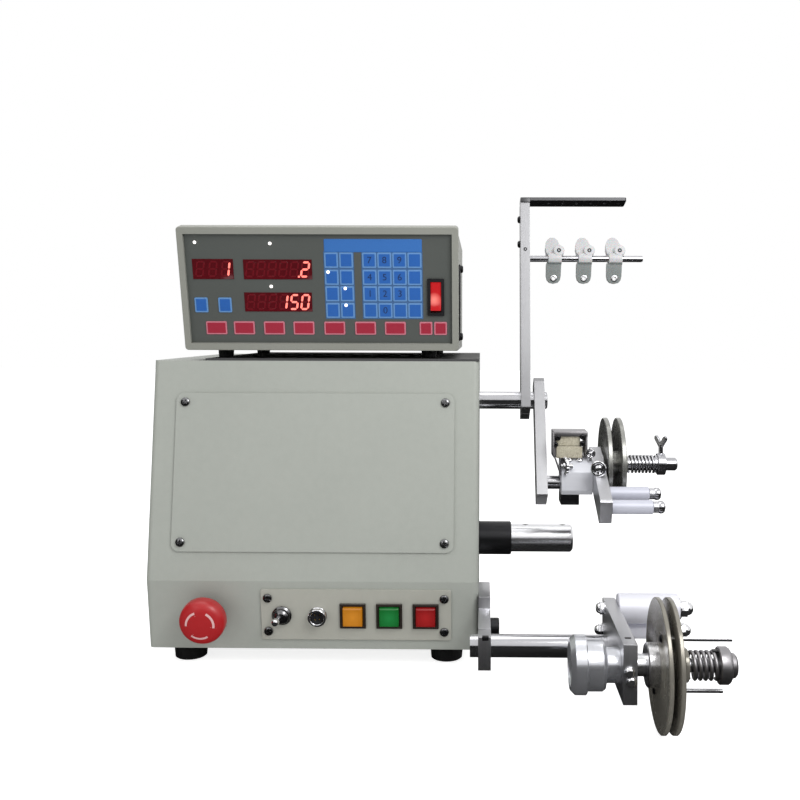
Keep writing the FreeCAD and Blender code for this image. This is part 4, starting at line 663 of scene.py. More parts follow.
def pin(name, low, high, radius, axis="x", steps=24):
    """A plain round pin between two places on an axis."""
    return turned(name, [(low, 0), (low, radius), (high, radius), (high, 0)], axis, steps)


def set_screw(name, radius, rise, socket, depth):
    """A headless screw towards -Y with a hexagon socket."""
    return cut(pin(name, 1, -rise, radius, "y"),
               bar("cut_hex", socket, depth, 6, "y", (0, -1, 0)))


def roller(name, low, high, bore, radius, chamfer, steps):
    """A sleeve along X with chamfered ends."""
    half = [(low, bore), (low, radius - chamfer), (low + chamfer, radius)]
    return turned(name, twin(half, low + high), "x", steps, ring=True)


def twin(half, total):
    """Half a profile and its mirror image, whose places add up to a total."""
    return half + [(total - along, radius) for along, radius in reversed(half)]


def acorn_nut(name, across, height):
    """A domed hexagon nut on its washer, along X from x = 0."""
    radius = across / 2
    washer = turned(name, [(0, 0), (0, radius * 1.28), (0.8, radius * 1.28),
                           (1.0, radius * 1.2), (1.0, 0)], "x", 36)
    body = bar("nut_body", radius / math.cos(math.radians(30)), height * 0.42, 6, "x")
    bevel(body, 0.35, 2)
    move(body, x=1.0)
    top = 1.0 + height * 0.42
    dome = turned("nut_dome", [
        (top - 0.3, 0), (top - 0.3, radius * 0.92), (top + height * 0.12, radius * 0.9),
        (top + height * 0.28, radius * 0.72), (top + height * 0.38, radius * 0.45),
        (top + height * 0.42, 0)], "x", 32)
    return fuse(name, [washer, body, dome])


def thumb_nut(name, radius, thick):
    """A knurled disc along Y with a sunk face and a raised hub, its face at y = 0."""
    disc = turned(name, [
        (-thick * 0.3, 0), (-thick * 0.3, radius * 0.2), (-thick * 0.15, radius * 0.36),
        (thick * 0.3, radius * 0.42), (thick * 0.3, radius * 0.62), (0, radius * 0.72),
        (0, radius * 0.9), (thick * 0.2, radius), (thick * 0.8, radius), (thick, radius * 0.9),
        (thick, 0)], "y", 48)
    notches = []
    for count in range(16):
        notch = bar("notch", radius * 0.07, thick * 1.4, 8, "y",
                    (0, -thick * 0.2, radius * 1.02))
        notches.append(move(notch, turn=count * 22.5, axis="Y"))
    return cut(disc, fuse("notches", notches))


def coil(name, radius, wire, length, turns):
    """A round-wire compression spring along X, with closed ends."""
    deselect()
    bpy.ops.mesh.primitive_circle_add(vertices=10, radius=wire, fill_type="NOTHING",
                                      rotation=(QUARTER, 0, 0),
                                      location=(radius, 0, 0))
    piece = named(name)
    settle()
    modify(piece, "SCREW", axis="Z", angle=TURN, screw_offset=(length - 2 * wire) / turns,
           iterations=turns, steps=40, render_steps=40, use_merge_vertices=False)
    edit(piece)
    bpy.ops.mesh.select_mode(type="EDGE")
    bpy.ops.mesh.select_all(action="DESELECT")
    bpy.ops.mesh.select_non_manifold()
    bpy.ops.mesh.edge_face_add()
    face_out()
    move(piece, turn=90, axis="Y")
    return move(piece, x=wire)


# --- the pieces, one operator for each piece or group of like pieces -----------------------

class WINDER_OT_coats(bpy.types.Operator):
    """Gives every solid that keeps its shape its finish"""
    bl_idname = "winder.coats"
    bl_label = "Finishes of the solids"

    def execute(self, context):
        make_finishes(context.scene.winder_look)
        coats = {
            "case": ("case_shell", "front_cover", "rear_panel"),
            "lower": ("switch_plate",),
            "mat": ("top_mat",),
            "controller": ("controller_case", "controller_bezel"),
            "film": ("control_panel",),
            "board": ("circuit_board",),
            "black": ("estop_collar", "rocker_frame", "toggle_bushing", "button_bezels"),
            "rubber": ("rubber_feet", "drive_belt"),
            "dark": ("spindle_housing", "spindle_motor", "stepper_motor", "case_screws"),
            "steel": ("traverse_rod", "lead_screw", "stand_guide_rod", "head_rod",
                      "small_wheel_shaft", "tension_rod",
                      "spindle_bearings",
                      "toggle_lever", "small_wheel_spring", "wheel_spring"),
            "turned": ("spindle_shaft", "wheel_hub", "wing_collar", "wheel_nut",
                       "pedal_socket"),
            "bar": ("stand_bar", "guide_arm"),
            "plate": ("head_plate", "tension_arm", "rod_bracket",
                      "traverse_carriage", "spindle_pulley", "motor_pulley"),
            "strip": ("stand_top_strip",),
            "satin": ("head_block",),
            "spun": ("brake_body",),
            "disc": ("small_wheel_discs", "big_wheel_discs"),
            "nylon": ("wire_guides",),
            "felt": ("felt_pads",),
            "brass": ("rod_bushing",),
            "stop": ("estop_head",),
            "red_face": ("red_button", "power_rocker"),
            "amber": ("amber_button",),
            "green": ("green_button",),
        }
        for finish, nodes in coats.items():
            for name in nodes:
                coat(name, FINISH[finish])
        return {"FINISHED"}


class WINDER_OT_screws(bpy.types.Operator):
    """Builds the pan-head screws of the cover, the switch plate and the back"""
    bl_idname = "winder.screws"
    bl_label = "Case screws"

    def execute(self, context):
        head = pan_screw("screw_head", 4, 2.4)
        spots = [("upper", (x, -1.6, z), 0) for x in (-114, 114) for z in (33, 154)]
        spots += [("lower", (x, -1.5, z), 0) for x in (-38, 114) for z in (-44.7, -14.3)]
        spots += [("world", (x, 128, z), 180) for x in (-133.5, 133.5) for z in (26, 256)]
        heads = []
        for count, (where, at, turn) in enumerate(spots):
            screw = move(copy_of(head, "head"), turn=count * 37, axis="Y")
            move(screw, turn=turn, axis="Z")
            heads.append(seat(screw, where, at))
        discard(head)
        dress(fuse("pan_screws", heads), "screw", "machine", "dark_steel", "case_screws")
        return {"FINISHED"}


class WINDER_OT_feet(bpy.types.Operator):
    """Builds the rubber bumpers under the case and the controller"""
    bl_idname = "winder.feet"
    bl_label = "Rubber feet"

    def execute(self, context):
        feet = []
        shapes = (
            ([(2.5, 0), (2.5, 4), (0, 5), (0, 12.6), (0.9, 13.8), (14.6, 15), (16, 14.6),
              (16, 0)], [(x, y, 0) for x in (-115, 115) for y in (-90, 90)]),
            ([(0, 0), (0, 6), (0.6, 6.6), (6.4, 7), (7, 6.8), (7, 0)],
             [(4.5 + x, 5.5 + y, 268) for x in (-93, 93) for y in (-75.25, 75.25)]),
        )
        for profile, spots in shapes:
            for spot in spots:
                feet.append(seat(turned("foot", profile, "z", 48), "world", spot))
        dress(fuse("rubber_bumpers", feet), "rubber", "machine", "rubber",
              "rubber_feet")
        return {"FINISHED"}


def arc_arrow(name, radius, start, sweep):
    """A curved arrow, flat in the XZ plane about the origin."""
    band = trace(name, [(radius - 0.9, 0, 0), (radius + 0.9, 0, 0)])
    bpy.ops.mesh.spin(steps=14, angle=math.radians(sweep), center=(0, 0, 0), axis=Y)
    done()
    tip = trace("arrow_tip", [(radius - 2.4, 0, 0.2), (radius + 2.4, 0, 0.2),
                              (radius, 0, 4.4)])
    bpy.ops.mesh.edge_face_add()
    done()
    return move(fuse(name, [band, tip]), turn=start, axis="Y")


class WINDER_OT_emergency_stop(bpy.types.Operator):
    """Builds the emergency stop's domed head and its three arc arrows"""
    bl_idname = "winder.emergency_stop"
    bl_label = "Emergency stop"

    def execute(self, context):
        at = (-90, 0, -28)
        head = turned("stop_head", [
            (18, 0), (18, 7), (-12, 7), (-12, 17.8), (-12.5, 19), (-13.6, 19.5),
            (-18.6, 19.5), (-20.6, 19.2), (-22.6, 18.2), (-24.4, 16.4), (-25.8, 13.8),
            (-26.8, 10.6), (-27.3, 7), (-27.5, 3.5), (-27.5, 0)], "y", 96)
        arrows = []
        for turn in (10, 130, 250):
            arrow = move(arc_arrow("stop_arrow", 11.6, turn, 72), y=-40)
            modify(arrow, "SHRINKWRAP", target=head, wrap_method="PROJECT",
                   use_project_y=True, use_positive_direction=True,
                   use_negative_direction=True, offset=0.06)
            modify(arrow, "SOLIDIFY", thickness=0.14, offset=1)
            arrows.append(seat(arrow, "lower", at))
        # the collar ends short of the pressed head
        collar = turned("stop_collar", [(0, 7.2), (0, 12.2), (-6.6, 12.2), (-7.4, 11.4),
                                        (-7.4, 7.2)], "y", 64, ring=True)
        dress(seat(collar, "lower", at), "black", "machine", "black_plastic",
              "estop_collar")
        dress(seat(head, "lower", at, 60), "stop", "estop", "red_plastic", "estop_head")
        dress(fuse("stop_arrows", arrows), "arrow", "estop", "red_plastic")
        return {"FINISHED"}


class WINDER_OT_push_buttons(bpy.types.Operator):
    """Builds the three lit push buttons and their square bezels"""
    bl_idname = "winder.push_buttons"
    bl_label = "Push buttons"

    def execute(self, context):
        rims = []
        for name, x in BUTTONS.items():
            spot = (x, SWITCH_Y, SWITCH_Z)
            rim = slab("button_rim", (-11.25, -2, -11.25), (11.25, 0, 11.25))
            edit(rim)
            select_front(rim)
            bpy.ops.mesh.inset(thickness=2.3)
            bpy.ops.mesh.extrude_region_move(TRANSFORM_OT_translate={"value": (0, 1.6, 0)})
            done()
            rims.append(seat(bevel(rim, 0.45, 3), "lower", spot))
            cap = slab(f"{name}_cap", (-8.3, -4.2, -8.3), (8.3, 10, 8.3))
            step_front(cap, (1.1, -0.8), (2.0, 0.5), (0.5, 0))
            bevel(cap, 0.3, 2, 12)
            dress(seat(cap, "lower", spot), "red_lens" if name == "red" else name, name,
                  f"{name}_plastic", f"{name}_button")
        dress(fuse("button_rims", rims), "tinted", "machine", "black_plastic",
              "button_bezels")
        return {"FINISHED"}


class WINDER_OT_toggle_and_socket(bpy.types.Operator):
    """Builds the toggle's ribbed boot and lever, and the pedal's socket"""
    bl_idname = "winder.toggle_and_socket"
    bl_label = "Toggle and pedal socket"

    def execute(self, context):
        toggle_at = (TOGGLE_X, SWITCH_Y, SWITCH_Z)
        socket_at = (SOCKET_X, SWITCH_Y, SWITCH_Z)
        boot = turned("toggle_boot", [
            (10, 0), (10, 5.4), (0, 5.4), (0, 8), (-0.8, 8.5), (-1.8, 8.5), (-2.4, 7.8),
            (-3.0, 7.2), (-3.4, 7.5), (-4.0, 7.3), (-4.4, 6.3), (-4.8, 6.5), (-5.4, 6.2),
            (-6.0, 5.2), (-6.8, 4.6), (-7.2, 3.4), (-7.0, 0)], "y", 56)
        dress(seat(boot, "lower", toggle_at), "screw", "machine", "rubber",
              "toggle_bushing")
        lever = turned("toggle_bat", [
            (0, 0), (0, 2.0), (-5, 2.2), (-9, 2.6), (-12, 3.0), (-14.4, 3.2), (-15.8, 3.0),
            (-16.8, 2.3), (-17.3, 1.1), (-17.4, 0)], "y", 40)
        move(lever, turn=-12, axis="Z")
        dress(seat(lever, "lower", toggle_at, 60), "chrome", "toggle",
              "polished_steel", "toggle_lever")
        ring = turned("socket_ring", [
            (0, 6.6), (0, 8.0), (-1.5, 8.0), (-1.8, 7.5), (-4.6, 7.5), (-4.9, 8.0),
            (-6.0, 7.9), (-6.5, 7.3), (-6.5, 6.1), (-6.0, 5.7), (-1.0, 5.7), (-1.0, 6.6)],
            "y", 56, ring=True)
        dress(seat(ring, "lower", socket_at), "chrome", "machine",
              "polished_steel", "pedal_socket")
        core = turned("socket_core", [(8, 0), (8, 5.6), (-3.6, 5.6), (-4.0, 5.2), (-4.0, 0)],
                      "y", 48)
        pins = []
        for turn in (45, 135, 225, 315):
            angle = math.radians(turn)
            x, z = 2.9 * math.cos(angle), 2.9 * math.sin(angle)
            cut(core, bar("cut_pin", 1.0, 6, 16, "y", (x, -5, z)))
            contact = turned("socket_pin", [(1, 0), (1, 0.6), (-3.6, 0.6), (-4.2, 0.3),
                                            (-4.3, 0)], "y", 14)
            pins.append(seat(contact, "lower", (SOCKET_X + x, SWITCH_Y, SWITCH_Z + z)))
        dress(seat(core, "lower", socket_at), "black", "machine", "black_plastic")
        dress(fuse("socket_pins", pins), "brass", "machine", "brass")
        return {"FINISHED"}


# --- the controller's face ------------------------------------------------------------------

DIGIT_WIDTH, DIGIT_HEIGHT, SLANT = 7.6, 14.2, 0.16
SEGMENT_DEPTH, LIT_OUT, UNLIT_OUT = 0.12, 0.42, 0.3
# The bars that each numeral of a display lights.
NUMERALS = {"0": "abcdef", "1": "bc", "2": "abged", "5": "afgcd", "8": "abcdefg", " ": ""}


def panel(name, x, z, width, height, low, high):
    """A box about a centre on a face, that rises towards -Y from low to high."""
    return slab(name, (x - width / 2, -high, z - height / 2),
                (x + width / 2, -low, z + height / 2))


def key_pad(name, x, z, width, height, low, high, radius, step):
    """A raised pad with rounded corners and a small step round its face."""
    pad = panel(name, x, z, width, height, low, high)
    edit(pad)
    bpy.ops.mesh.select_mode(type="EDGE")
    bpy.ops.mesh.select_all(action="DESELECT")
    mesh = bmesh.from_edit_mesh(pad.data)
    for side in mesh.edges:
        side.select_set(abs(side.verts[0].co.y - side.verts[1].co.y) > (high - low) / 2)
    bmesh.update_edit_mesh(pad.data)
    bpy.ops.mesh.bevel(offset=radius, segments=4, affect="EDGES")
    done()
    step_front(pad, (step, -step))
    return pad


def keys(name, spots, rise, rim, edge, face, slot):
    """A set of like keys as one piece: rims of one finish, faces of another set in them."""
    pads = []
    for x, z, width, height in spots:
        outer = key_pad("key", x, z, width, height, 0, rise - 0.1, 1.1, 0.1)
        outer.data.materials.append(FINISH[edge])
        inner = key_pad("face", x, z, width - 2 * rim, height - 2 * rim, rise - 0.2,
                        rise, 0.5, 0.08)
        inner.data.materials.append(FINISH[face])
        pads += [outer, inner]
    piece = seat(fuse(name, pads), "control", (0, FACE_Y, 0), 25)
    return dress(piece, None, "machine", slot)


class WINDER_OT_keypad(bpy.types.Operator):
    """Builds the blue and red membrane keys, the header band, the numerals and the lamps"""
    bl_idname = "winder.keypad"
    bl_label = "Keypad"

    def execute(self, context):
        rise = context.scene.winder_look.key_height / MM
        rows, columns = (80.4, 65.4, 50.8, 35.9), (43.9, 56.9, 69.9, 82.9)
        blue = [(x, 40.5, 11.6, 13.3) for x in (-104.1, -83.3)]
        blue += [(x, z, 11.9, 13.4) for x in (11.0, 24.0) for z in rows]
        blue += [(x, z, 12.2, 13.4) for x in columns for z in rows]
        red = [(x, 19.9, 18.3, 11.8) for x in (-92.2, -67.7, -41.2, -15.2, 11.9, 39.0, 65.2)]
        red += [(x, 19.9, 11.2, 11.8) for x in (92.1, 104.9)]
        fields = [bevel(panel("field", x, 58.1, width, 59.8, 0, rise * 0.3), 0.05, 1)
                  for x, width in ((17.5, 26.2), (63.4, 52.8))]
        field = seat(fuse("key_fields", fields), "control", (0, FACE_Y, 0))
        dress(field, "field", "machine", "panel_film")
        keys("blue_keys", blue, rise, 1.3, "blue", "blue_face", "panel_film")
        keys("red_keys", red, rise, 1.2, "red", "red_face", "panel_film")
        keys("header_band", [(47.3, 93.1, 84.2, 11.5)], rise * 0.5, 0.8, "header", "header",
             "panel_film")
        marks = []
        for count, text in enumerate("7894561230"):
            column, row = (1, 3) if text == "0" else (count % 3, count // 3)
            deselect()
            bpy.ops.object.text_add()
            mark = bpy.context.object
            mark.data.body = text
            mark.data.size = 8.2
            mark.data.extrude = 0.05
            mark.data.align_x = mark.data.align_y = "CENTER"
            bpy.ops.object.convert(target="MESH")
            mark = move(bpy.context.object, turn=90, axis="X")
            marks.append(seat(mark, "control", (columns[column], FACE_Y - rise - 0.12,
                                                rows[row])))
        dress(fuse("key_numerals", marks), "ink", "machine", "panel_film")
        lamps = []
        on_keys = [(8.0, 70.0), (22.4, 55.6), (22.6, 40.6)]
        for x, z in [(-106, 95.7), (-41.2, 94.8), (-42.1, 57.1)] + on_keys:
            lift = rise if (x, z) in on_keys else 0
            dome = turned("lamp", [(0, 0), (0, 1.4), (-0.5, 1.3), (-0.9, 0.8), (-1.0, 0)],
                          "y", 20)
            lamps.append(seat(dome, "control", (x, FACE_Y - lift, z), 60))
        dress(fuse("status_lamps", lamps), "led", "machine", "panel_film")
        return {"FINISHED"}


def segment(kind, centre_x, centre_z, thick):
    """One bar of a seven-segment numeral, leaning right as it rises."""
    gap, t = thick * 0.18, thick / 2
    wide, tall = DIGIT_WIDTH / 2 - t, DIGIT_HEIGHT / 2 - t
    x1, z1, x2, z2 = {"a": (-1, 1, 1, 1), "b": (1, 0, 1, 1), "c": (1, -1, 1, 0),
                      "d": (-1, -1, 1, -1), "e": (-1, -1, -1, 0), "f": (-1, 0, -1, 1),
                      "g": (-1, 0, 1, 0)}[kind]
    start, stop = Vector((x1 * wide, z1 * tall)), Vector((x2 * wide, z2 * tall))
    run = (stop - start).normalized()
    side = Vector((-run.y, run.x))
    corners = [start + run * gap, start + run * (gap + t) + side * t,
               stop - run * (gap + t) + side * t, stop - run * gap,
               stop - run * (gap + t) - side * t, start + run * (gap + t) - side * t]
    leaned = [(centre_x + c.x + c.y * SLANT, centre_z + c.y) for c in corners]
    return plate("segment", leaned, SEGMENT_DEPTH)


class WINDER_OT_displays(bpy.types.Operator):
    """Builds the three display windows with their lit and unlit numerals"""
    bl_idname = "winder.displays"
    bl_label = "Displays"

    def execute(self, context):
        windows, shown, hidden = [], [], []
        for x, z, width, height, text in ((-91.7, 72.4, 35.4, 17.7, "  1"),
                                          (-35.5, 72.2, 59.4, 17.4, "     2"),
                                          (-36.5, 43.3, 59.0, 17.0, "   150")):
            window = panel("window", x, z, width, height, 0, 0.5)
            step_front(window, (0.7, 0.3))
            windows.append(seat(window, "control", (0, FACE_Y, 0)))
            pitch = (width - 2) / len(text)
            for place, numeral in enumerate(text):
                middle = x - width / 2 + 1 + pitch * (place + 0.5) - 0.2
                for kind in "abcdefg":
                    on = kind in NUMERALS[numeral]
                    piece = segment(kind, middle, z, 1.75 if on else 1.5)
                    seat(piece, "control", (0, FACE_Y - (LIT_OUT if on else UNLIT_OUT), 0))
                    (shown if on else hidden).append(piece)
                if text == "     2" and place == 5:
                    dot = plate("point", [(middle - 6.6, z - 7.1), (middle - 4.9, z - 7.1),
                                          (middle - 4.7, z - 5.5), (middle - 6.4, z - 5.5)],
                                SEGMENT_DEPTH)
                    shown.append(seat(dot, "control", (0, FACE_Y - LIT_OUT, 0)))
        dress(fuse("display_windows", windows), "window", "machine", "red_plastic")
        dress(fuse("lit_numerals", shown), "segment", "machine", "red_plastic")
        dress(fuse("unlit_numerals", hidden), "segment_off", "machine", "red_plastic")
        return {"FINISHED"}


class WINDER_OT_power_rocker(bpy.types.Operator):
    """Builds the lit power rocker"""
    bl_idname = "winder.power_rocker"
    bl_label = "Power rocker"

    def execute(self, context):
        outline = [(-6.1, -12.5), (-5.0, -6), (-4.2, 0), (-5.0, 6), (-6.1, 12.5),
                   (-2.5, 11.9), (2, 3), (2, -3), (-2.5, -11.9)]
        rocker = move(plate("rocker_lens", outline, 9.0, "yz"), x=-4.5)
        move(bevel(rocker, 0.5, 3), turn=-10)
        dress(seat(rocker, "control", (101, 6.5, 48)), "rocker", "rocker",
              "red_plastic", "power_rocker")
        return {"FINISHED"}


class WINDER_OT_side_rail(bpy.types.Operator):
    """Builds the narrow rail on the controller's right side"""
    bl_idname = "winder.side_rail"
    bl_label = "Side rail"

    def execute(self, context):
        parts = [bevel(slab("side_rail", (0, -5, 0), (2.2, 5, 70)), 0.8, 3)]
        for z in (4, 66):
            stud = turned("rail_stud", [(0, 0), (0, 3.4), (2.6, 3.4), (3.4, 2.6), (3.6, 0)],
                          "x", 28)
            parts.append(move(stud, x=1.0, z=z))
        dress(seat(fuse("side_rail", parts), "world", (123.75, -62, 283.5)), "dark",
              "machine", "dark_steel")
        return {"FINISHED"}


# --- the winding mechanism ------------------------------------------------------------------

class WINDER_OT_stand(bpy.types.Operator):
    """Builds the stand's side and set screws and the lip of its top strip"""
    bl_idname = "winder.stand"
    bl_label = "Stand screws"

    def execute(self, context):
        parts = []
        for z in (172, 148):
            head = move(pan_screw("stand_screw", 3.4, 2.6, "hex"), turn=-90, axis="Z")
            parts.append(seat(head, "stand", (0, 0, z)))
        parts.append(seat(set_screw("stand_set_screw", 1.7, 0.2, 0.8, 2), "stand",
                          (4.25, -15, 139.5)))
        dress(fuse("stand_screws", parts), "dark", "stand", "dark_steel")
        lip = bevel(slab("strip_lip", (-0.2, -16.1, 184.4), (8.9, -15.05, 188.8)), 0.3, 2)
        dress(seat(lip, "stand"), "strip", "stand", "dark_steel")
        return {"FINISHED"}


class WINDER_OT_wire_guides(bpy.types.Operator):
    """Builds the three nylon wire guides with their set screws and eyelets"""
    bl_idname = "winder.wire_guides"
    bl_label = "Wire guides"

    def execute(self, context):
        lobe = [(-4.4, -1), (-5.0, 2), (-6.8, 6), (-7.7, 11), (-7.2, 16), (-5.2, 19.8),
                (-2.2, 21.7), (1.2, 21.4), (4.0, 18.8), (5.8, 14.4), (6.6, 9), (7.2, 4),
                (7.2, -1)]
        tongue = [(-4.6, 1), (-5.4, -2.5), (-6.9, -6), (-7.0, -17), (-6.2, -20.8),
                  (-3.8, -23.4), (0, -24.3), (3.8, -23.4), (6.0, -20.8), (6.8, -17),
                  (7.2, -6), (7.3, 1)]
        bodies, screws, rings = [], [], []
        for count in range(3):
            x = GUIDE_X + count * GUIDE_PITCH
            ear = move(plate("guide_body", lobe, 7.0), y=-3.8, turn=-14)
            tail = move(plate("guide_tail", tongue, 7.0), y=-3.4, turn=12)
            boss = turned("guide_boss", [(3, 0), (3, 5.2), (-5.4, 5.2), (-6.0, 4.6), (-6.0, 0)],
                          "y", 40)
            move(boss, x=4.9, z=6.8)
            hub = bar("guide_hub", 6.2, 12.4, 40, "x", (-5.0, 0, 0))
            for extra in (tail, boss, hub):
                modify(ear, "BOOLEAN", operation="UNION", object=extra, solver="EXACT")
                discard(extra)
            cut(ear, bar("cut_eye", 2.6, 24, 28, "y", (0, -12, EYE_Z)))
            bevel(ear, 0.6, 3, 40)
            # faces below the hub take the darker nylon: painted shade under the rod
            ear.data.materials.append(FINISH["nylon"])
            ear.data.materials.append(FINISH["smoked"])
            for face in ear.data.polygons:
                face.material_index = int(face.center.z < -4.5)
            bodies.append(seat(ear, "stand", (x, 0, GUIDE_Z)))
            lip = [(-4.4, 1.9), (-4.4, 2.5), (-4.1, 3.1), (-3.7, 3.1), (-3.7, 2.62)]
            ring = turned("eyelet", twin(lip, 0), "y", 32, ring=True)
            move(ring, z=EYE_Z)
            rings.append(seat(move(ring, turn=12), "stand", (x, 0, GUIDE_Z)))
            screws.append(seat(set_screw("guide_screw", 1.9, 0.4, 0.9, 1.6), "stand",
                               (x + 4.9, -6.0, GUIDE_Z + 6.8)))
        dress(fuse("nylon_guides", bodies), None, "stand", "nylon", "wire_guides")
        dress(fuse("guide_eyelets", rings), "turned", "stand", "polished_steel")
        dress(fuse("guide_screws", screws), "dark", "stand", "dark_steel")
        return {"FINISHED"}


class WINDER_OT_guide_wheel(bpy.types.Operator):
    """Builds the small twin-disc wheel, its spring and the winged collar"""
    bl_idname = "winder.guide_wheel"
    bl_label = "Guide wheel"

    def execute(self, context):
        turns = context.scene.winder_look.small_spring_turns
        disc = [(254.9, 14), (254.9, 30), (253.6, 38.6), (253.5, 40.3), (254.0, 41.0),
                (256.9, 41.0), (257.4, 40.5), (257.6, 38), (258.0, 33), (258.0, 11)]
        hub = [(268.6, 12), (269.0, 10.4), (269.6, 9.8), (274.4, 8.4), (275.0, 7.8),
               (275.0, 5.9)]
        discs = turned("guide_discs", [(253.9, 5.9), (253.9, 12)] + twin(disc, 522.5) + hub,
                       "x", 120, ring=True)
        dress(seat(discs, "small", smooth=28), "disc", "small_wheel",
              "brushed_steel", "small_wheel_discs")
        spring = coil("guide_spring", 7.2, 1.1, 24, turns)
        dress(seat(spring, "small", (275.3, 0, 0), 60), "steel", "head",
              "polished_steel", "small_wheel_spring")
        collar = turned("winged_collar", [
            (299.3, 5.85), (299.3, 7.7), (301.0, 7.7), (301.3, 7.2), (301.3, 9.2),
            (301.8, 9.7), (307.8, 9.7), (308.3, 9.2), (308.3, 5.85)], "x", 64, ring=True)
        stem = bar("wing_stem", 2, 9, 24, "z", (304.8, 0, 8.5))
        wings = plate("wings", [(-2.2, 15), (2.2, 15), (4.0, 18), (6.6, 21.6), (6.6, 24.4),
                                (4.6, 25.6), (2.4, 23.6), (0.9, 20.8), (0, 20.2),
                                (-0.9, 20.8), (-2.4, 23.6), (-4.6, 25.6), (-6.6, 24.4),
                                (-6.6, 21.6), (-4.0, 18)], 2.6)
        move(wings, y=-1.3)
        bevel(wings, 0.8, 3)
        move(wings, x=304.8, turn=-48, axis="Z")
        dress(seat(fuse("winged_collar", [collar, stem, wings]), "small"), "steel",
              "head", "polished_steel", "wing_collar")
        return {"FINISHED"}


class WINDER_OT_winding_head(bpy.types.Operator):
    """Builds the head block, its jaw in painted shade, its thumb nuts and its two screws"""
    bl_idname = "winder.winding_head"
    bl_label = "Winding head"

    def execute(self, context):
        block = plate("head_body", [(-17, -4.5), (-12.5, -8.8), (17, -8.8), (17, 23),
                                    (-5.6, 23), (-17, 11.6)], 27, "yz")
        cut(block, bar("cut_bore", 6.05, 60, 48, "x", (-5, 0, 0)),
            slab("cut_slit", (-1, -0.8, -10), (28, 0.8, -4)))
        bevel(block, 0.5, 2)
        dress(seat(block, "head"), "satin", "head", "aluminium", "head_block")
        # the jaw is part of the aluminium block; its blackened steel finish paints the shade under
        # the block
        jaw = slab("clamp_jaw", (0, -7, -18.8), (16.2, 15, -8.9))
        cut(jaw, slab("cut_slit", (-1, -0.8, -20), (20, 0.8, -8)))
        bevel(jaw, 0.7, 2)
        dress(seat(jaw, "head"), "dark", "head", "dark_steel")
        nuts = []
        for radius, thick, turn, place, face, stem, axis, foot in (
                (8.2, 3.0, -74, "head", (1.2, -17, 16.5),
                 (-2, 8, 2.2), "x", (1.5, -16.5, 16.5)),
                (6.7, 3.2, -10, "world", (244.6, -136, 176.6),
                 (0, 8, 1.8), "z", (244.8, -134.2, 167.6)),
                (4.3, 2.6, -14, "world", (240.2, -114, 186.6),
                 (0, 6, 1.5), "z", (240.2, -112.6, 180.4))):
            nut = move(thumb_nut("thumb_nut", radius, thick), turn=turn, axis="Z")
            nuts.append(seat(nut, place, face))
            nuts.append(seat(pin("nut_stem", *stem, axis), place, foot))
        for x in (7.2, 16.1):
            screw = move(pan_screw("block_screw", 3.0, 2.2, "hex"), turn=-45)
            nuts.append(seat(screw, "head", (x, -8.0, 20.6)))
        dress(fuse("head_nuts", nuts), "chrome", "head", "polished_steel")
        return {"FINISHED"}


class WINDER_OT_felt_holder(bpy.types.Operator):
    """Builds the felt holder with its side strap, screws and pads"""
    bl_idname = "winder.felt_holder"
    bl_label = "Felt holder"

    def execute(self, context):
        frame_box = slab("felt_holder", (-7, -10, 23), (23, 14, 46))
        cut(frame_box, slab("cut_inside", (-4.8, -12, 24.8), (20.8, 16, 42.8)),
            slab("cut_front", (-4.8, -12, 22), (20.8, -7.4, 26)))
        bevel(frame_box, 0.5, 2)
        strap = plate("strap", [(-7.6, 45), (-6.6, 45), (-6.6, 28), (-0.1, 10.5), (-0.1, 8),
                                (-0.9, 8), (-7.6, 27.6)], 11, "xz")
        bevel(move(strap, y=-15.5), 0.3, 2)
        lip = slab("lip", (-7, -11.4, 41.6), (23, -10, 46))
        bevel(lip, 0.4, 2)
        piece = fuse("felt_holder", [frame_box, strap, lip])
        dress(seat(piece, "head"), "strap", "head", "brushed_steel", "felt_clamp")
        pads = []
        for outline, width in (
                ([(-10.6, 22.6), (-7.8, 22.6), (-7.8, 25.0), (12, 25.0), (12, 33.0),
                  (-10.6, 33.0)], 22.8),
                ([(-9.4, 33.2), (12, 33.2), (12, 42.4), (-9.4, 42.4)], 21.0)):
            pad = bevel(plate("felt_pad", outline, width, "yz"), 0.9, 4)
            pads.append(seat(move(pad, x=-4.4), "head"))
        dress(fuse("felt_blocks", pads), "felt", "head", "felt", "felt_pads")
        heads = []
        for x, z, radius in ((-3.0, 40.6, 2.7), (-5.0, 34.6, 2.3), (18.6, 41.6, 2.7),
                             (18.2, 35.6, 2.3)):
            head = pan_screw("felt_screw", radius, 2.2, "hex")
            shank = bar("felt_shank", radius * 0.6, 8, 20, "y")
            heads += [seat(head, "head", (x, -10.6, z)), seat(shank, "head", (x, -10.8, z))]
        dress(fuse("felt_screws", heads), "dark", "head", "dark_steel")
        return {"FINISHED"}


class WINDER_OT_head_rollers(bpy.types.Operator):
    """Builds the two pale rollers of the head plate and their end screws"""
    bl_idname = "winder.head_rollers"
    bl_label = "Head rollers"

    def execute(self, context):
        ends = []
        for y, name in ((-70.5, "front"), (-50, "rear")):
            sleeve = roller(f"{name}_sleeve", 10.4, 44.4, 2.58, 5.8, 0.6, 64)
            dress(seat(sleeve, "finger", (0, y, 0)), "sleeve", f"roller_{name}",
                  "aluminium", f"{name}_roller")
            screw = turned("roller_screw", [
                (45.0, 0), (45.0, 4.4), (46.4, 4.6), (46.8, 3.2), (48.2, 3.0), (48.8, 4.6),
                (50.4, 5.3), (52.6, 5.0), (54.0, 3.6), (54.6, 1.6), (54.6, 0)], "x", 40)
            cut(screw, slab("cut_slot", (53.4, -6, -0.5), (56, 6, 0.5)))
            ends.append(seat(screw, "finger", (0, y, 0)))
        dress(fuse("roller_screws", ends), "steel", "head", "polished_steel")
        return {"FINISHED"}


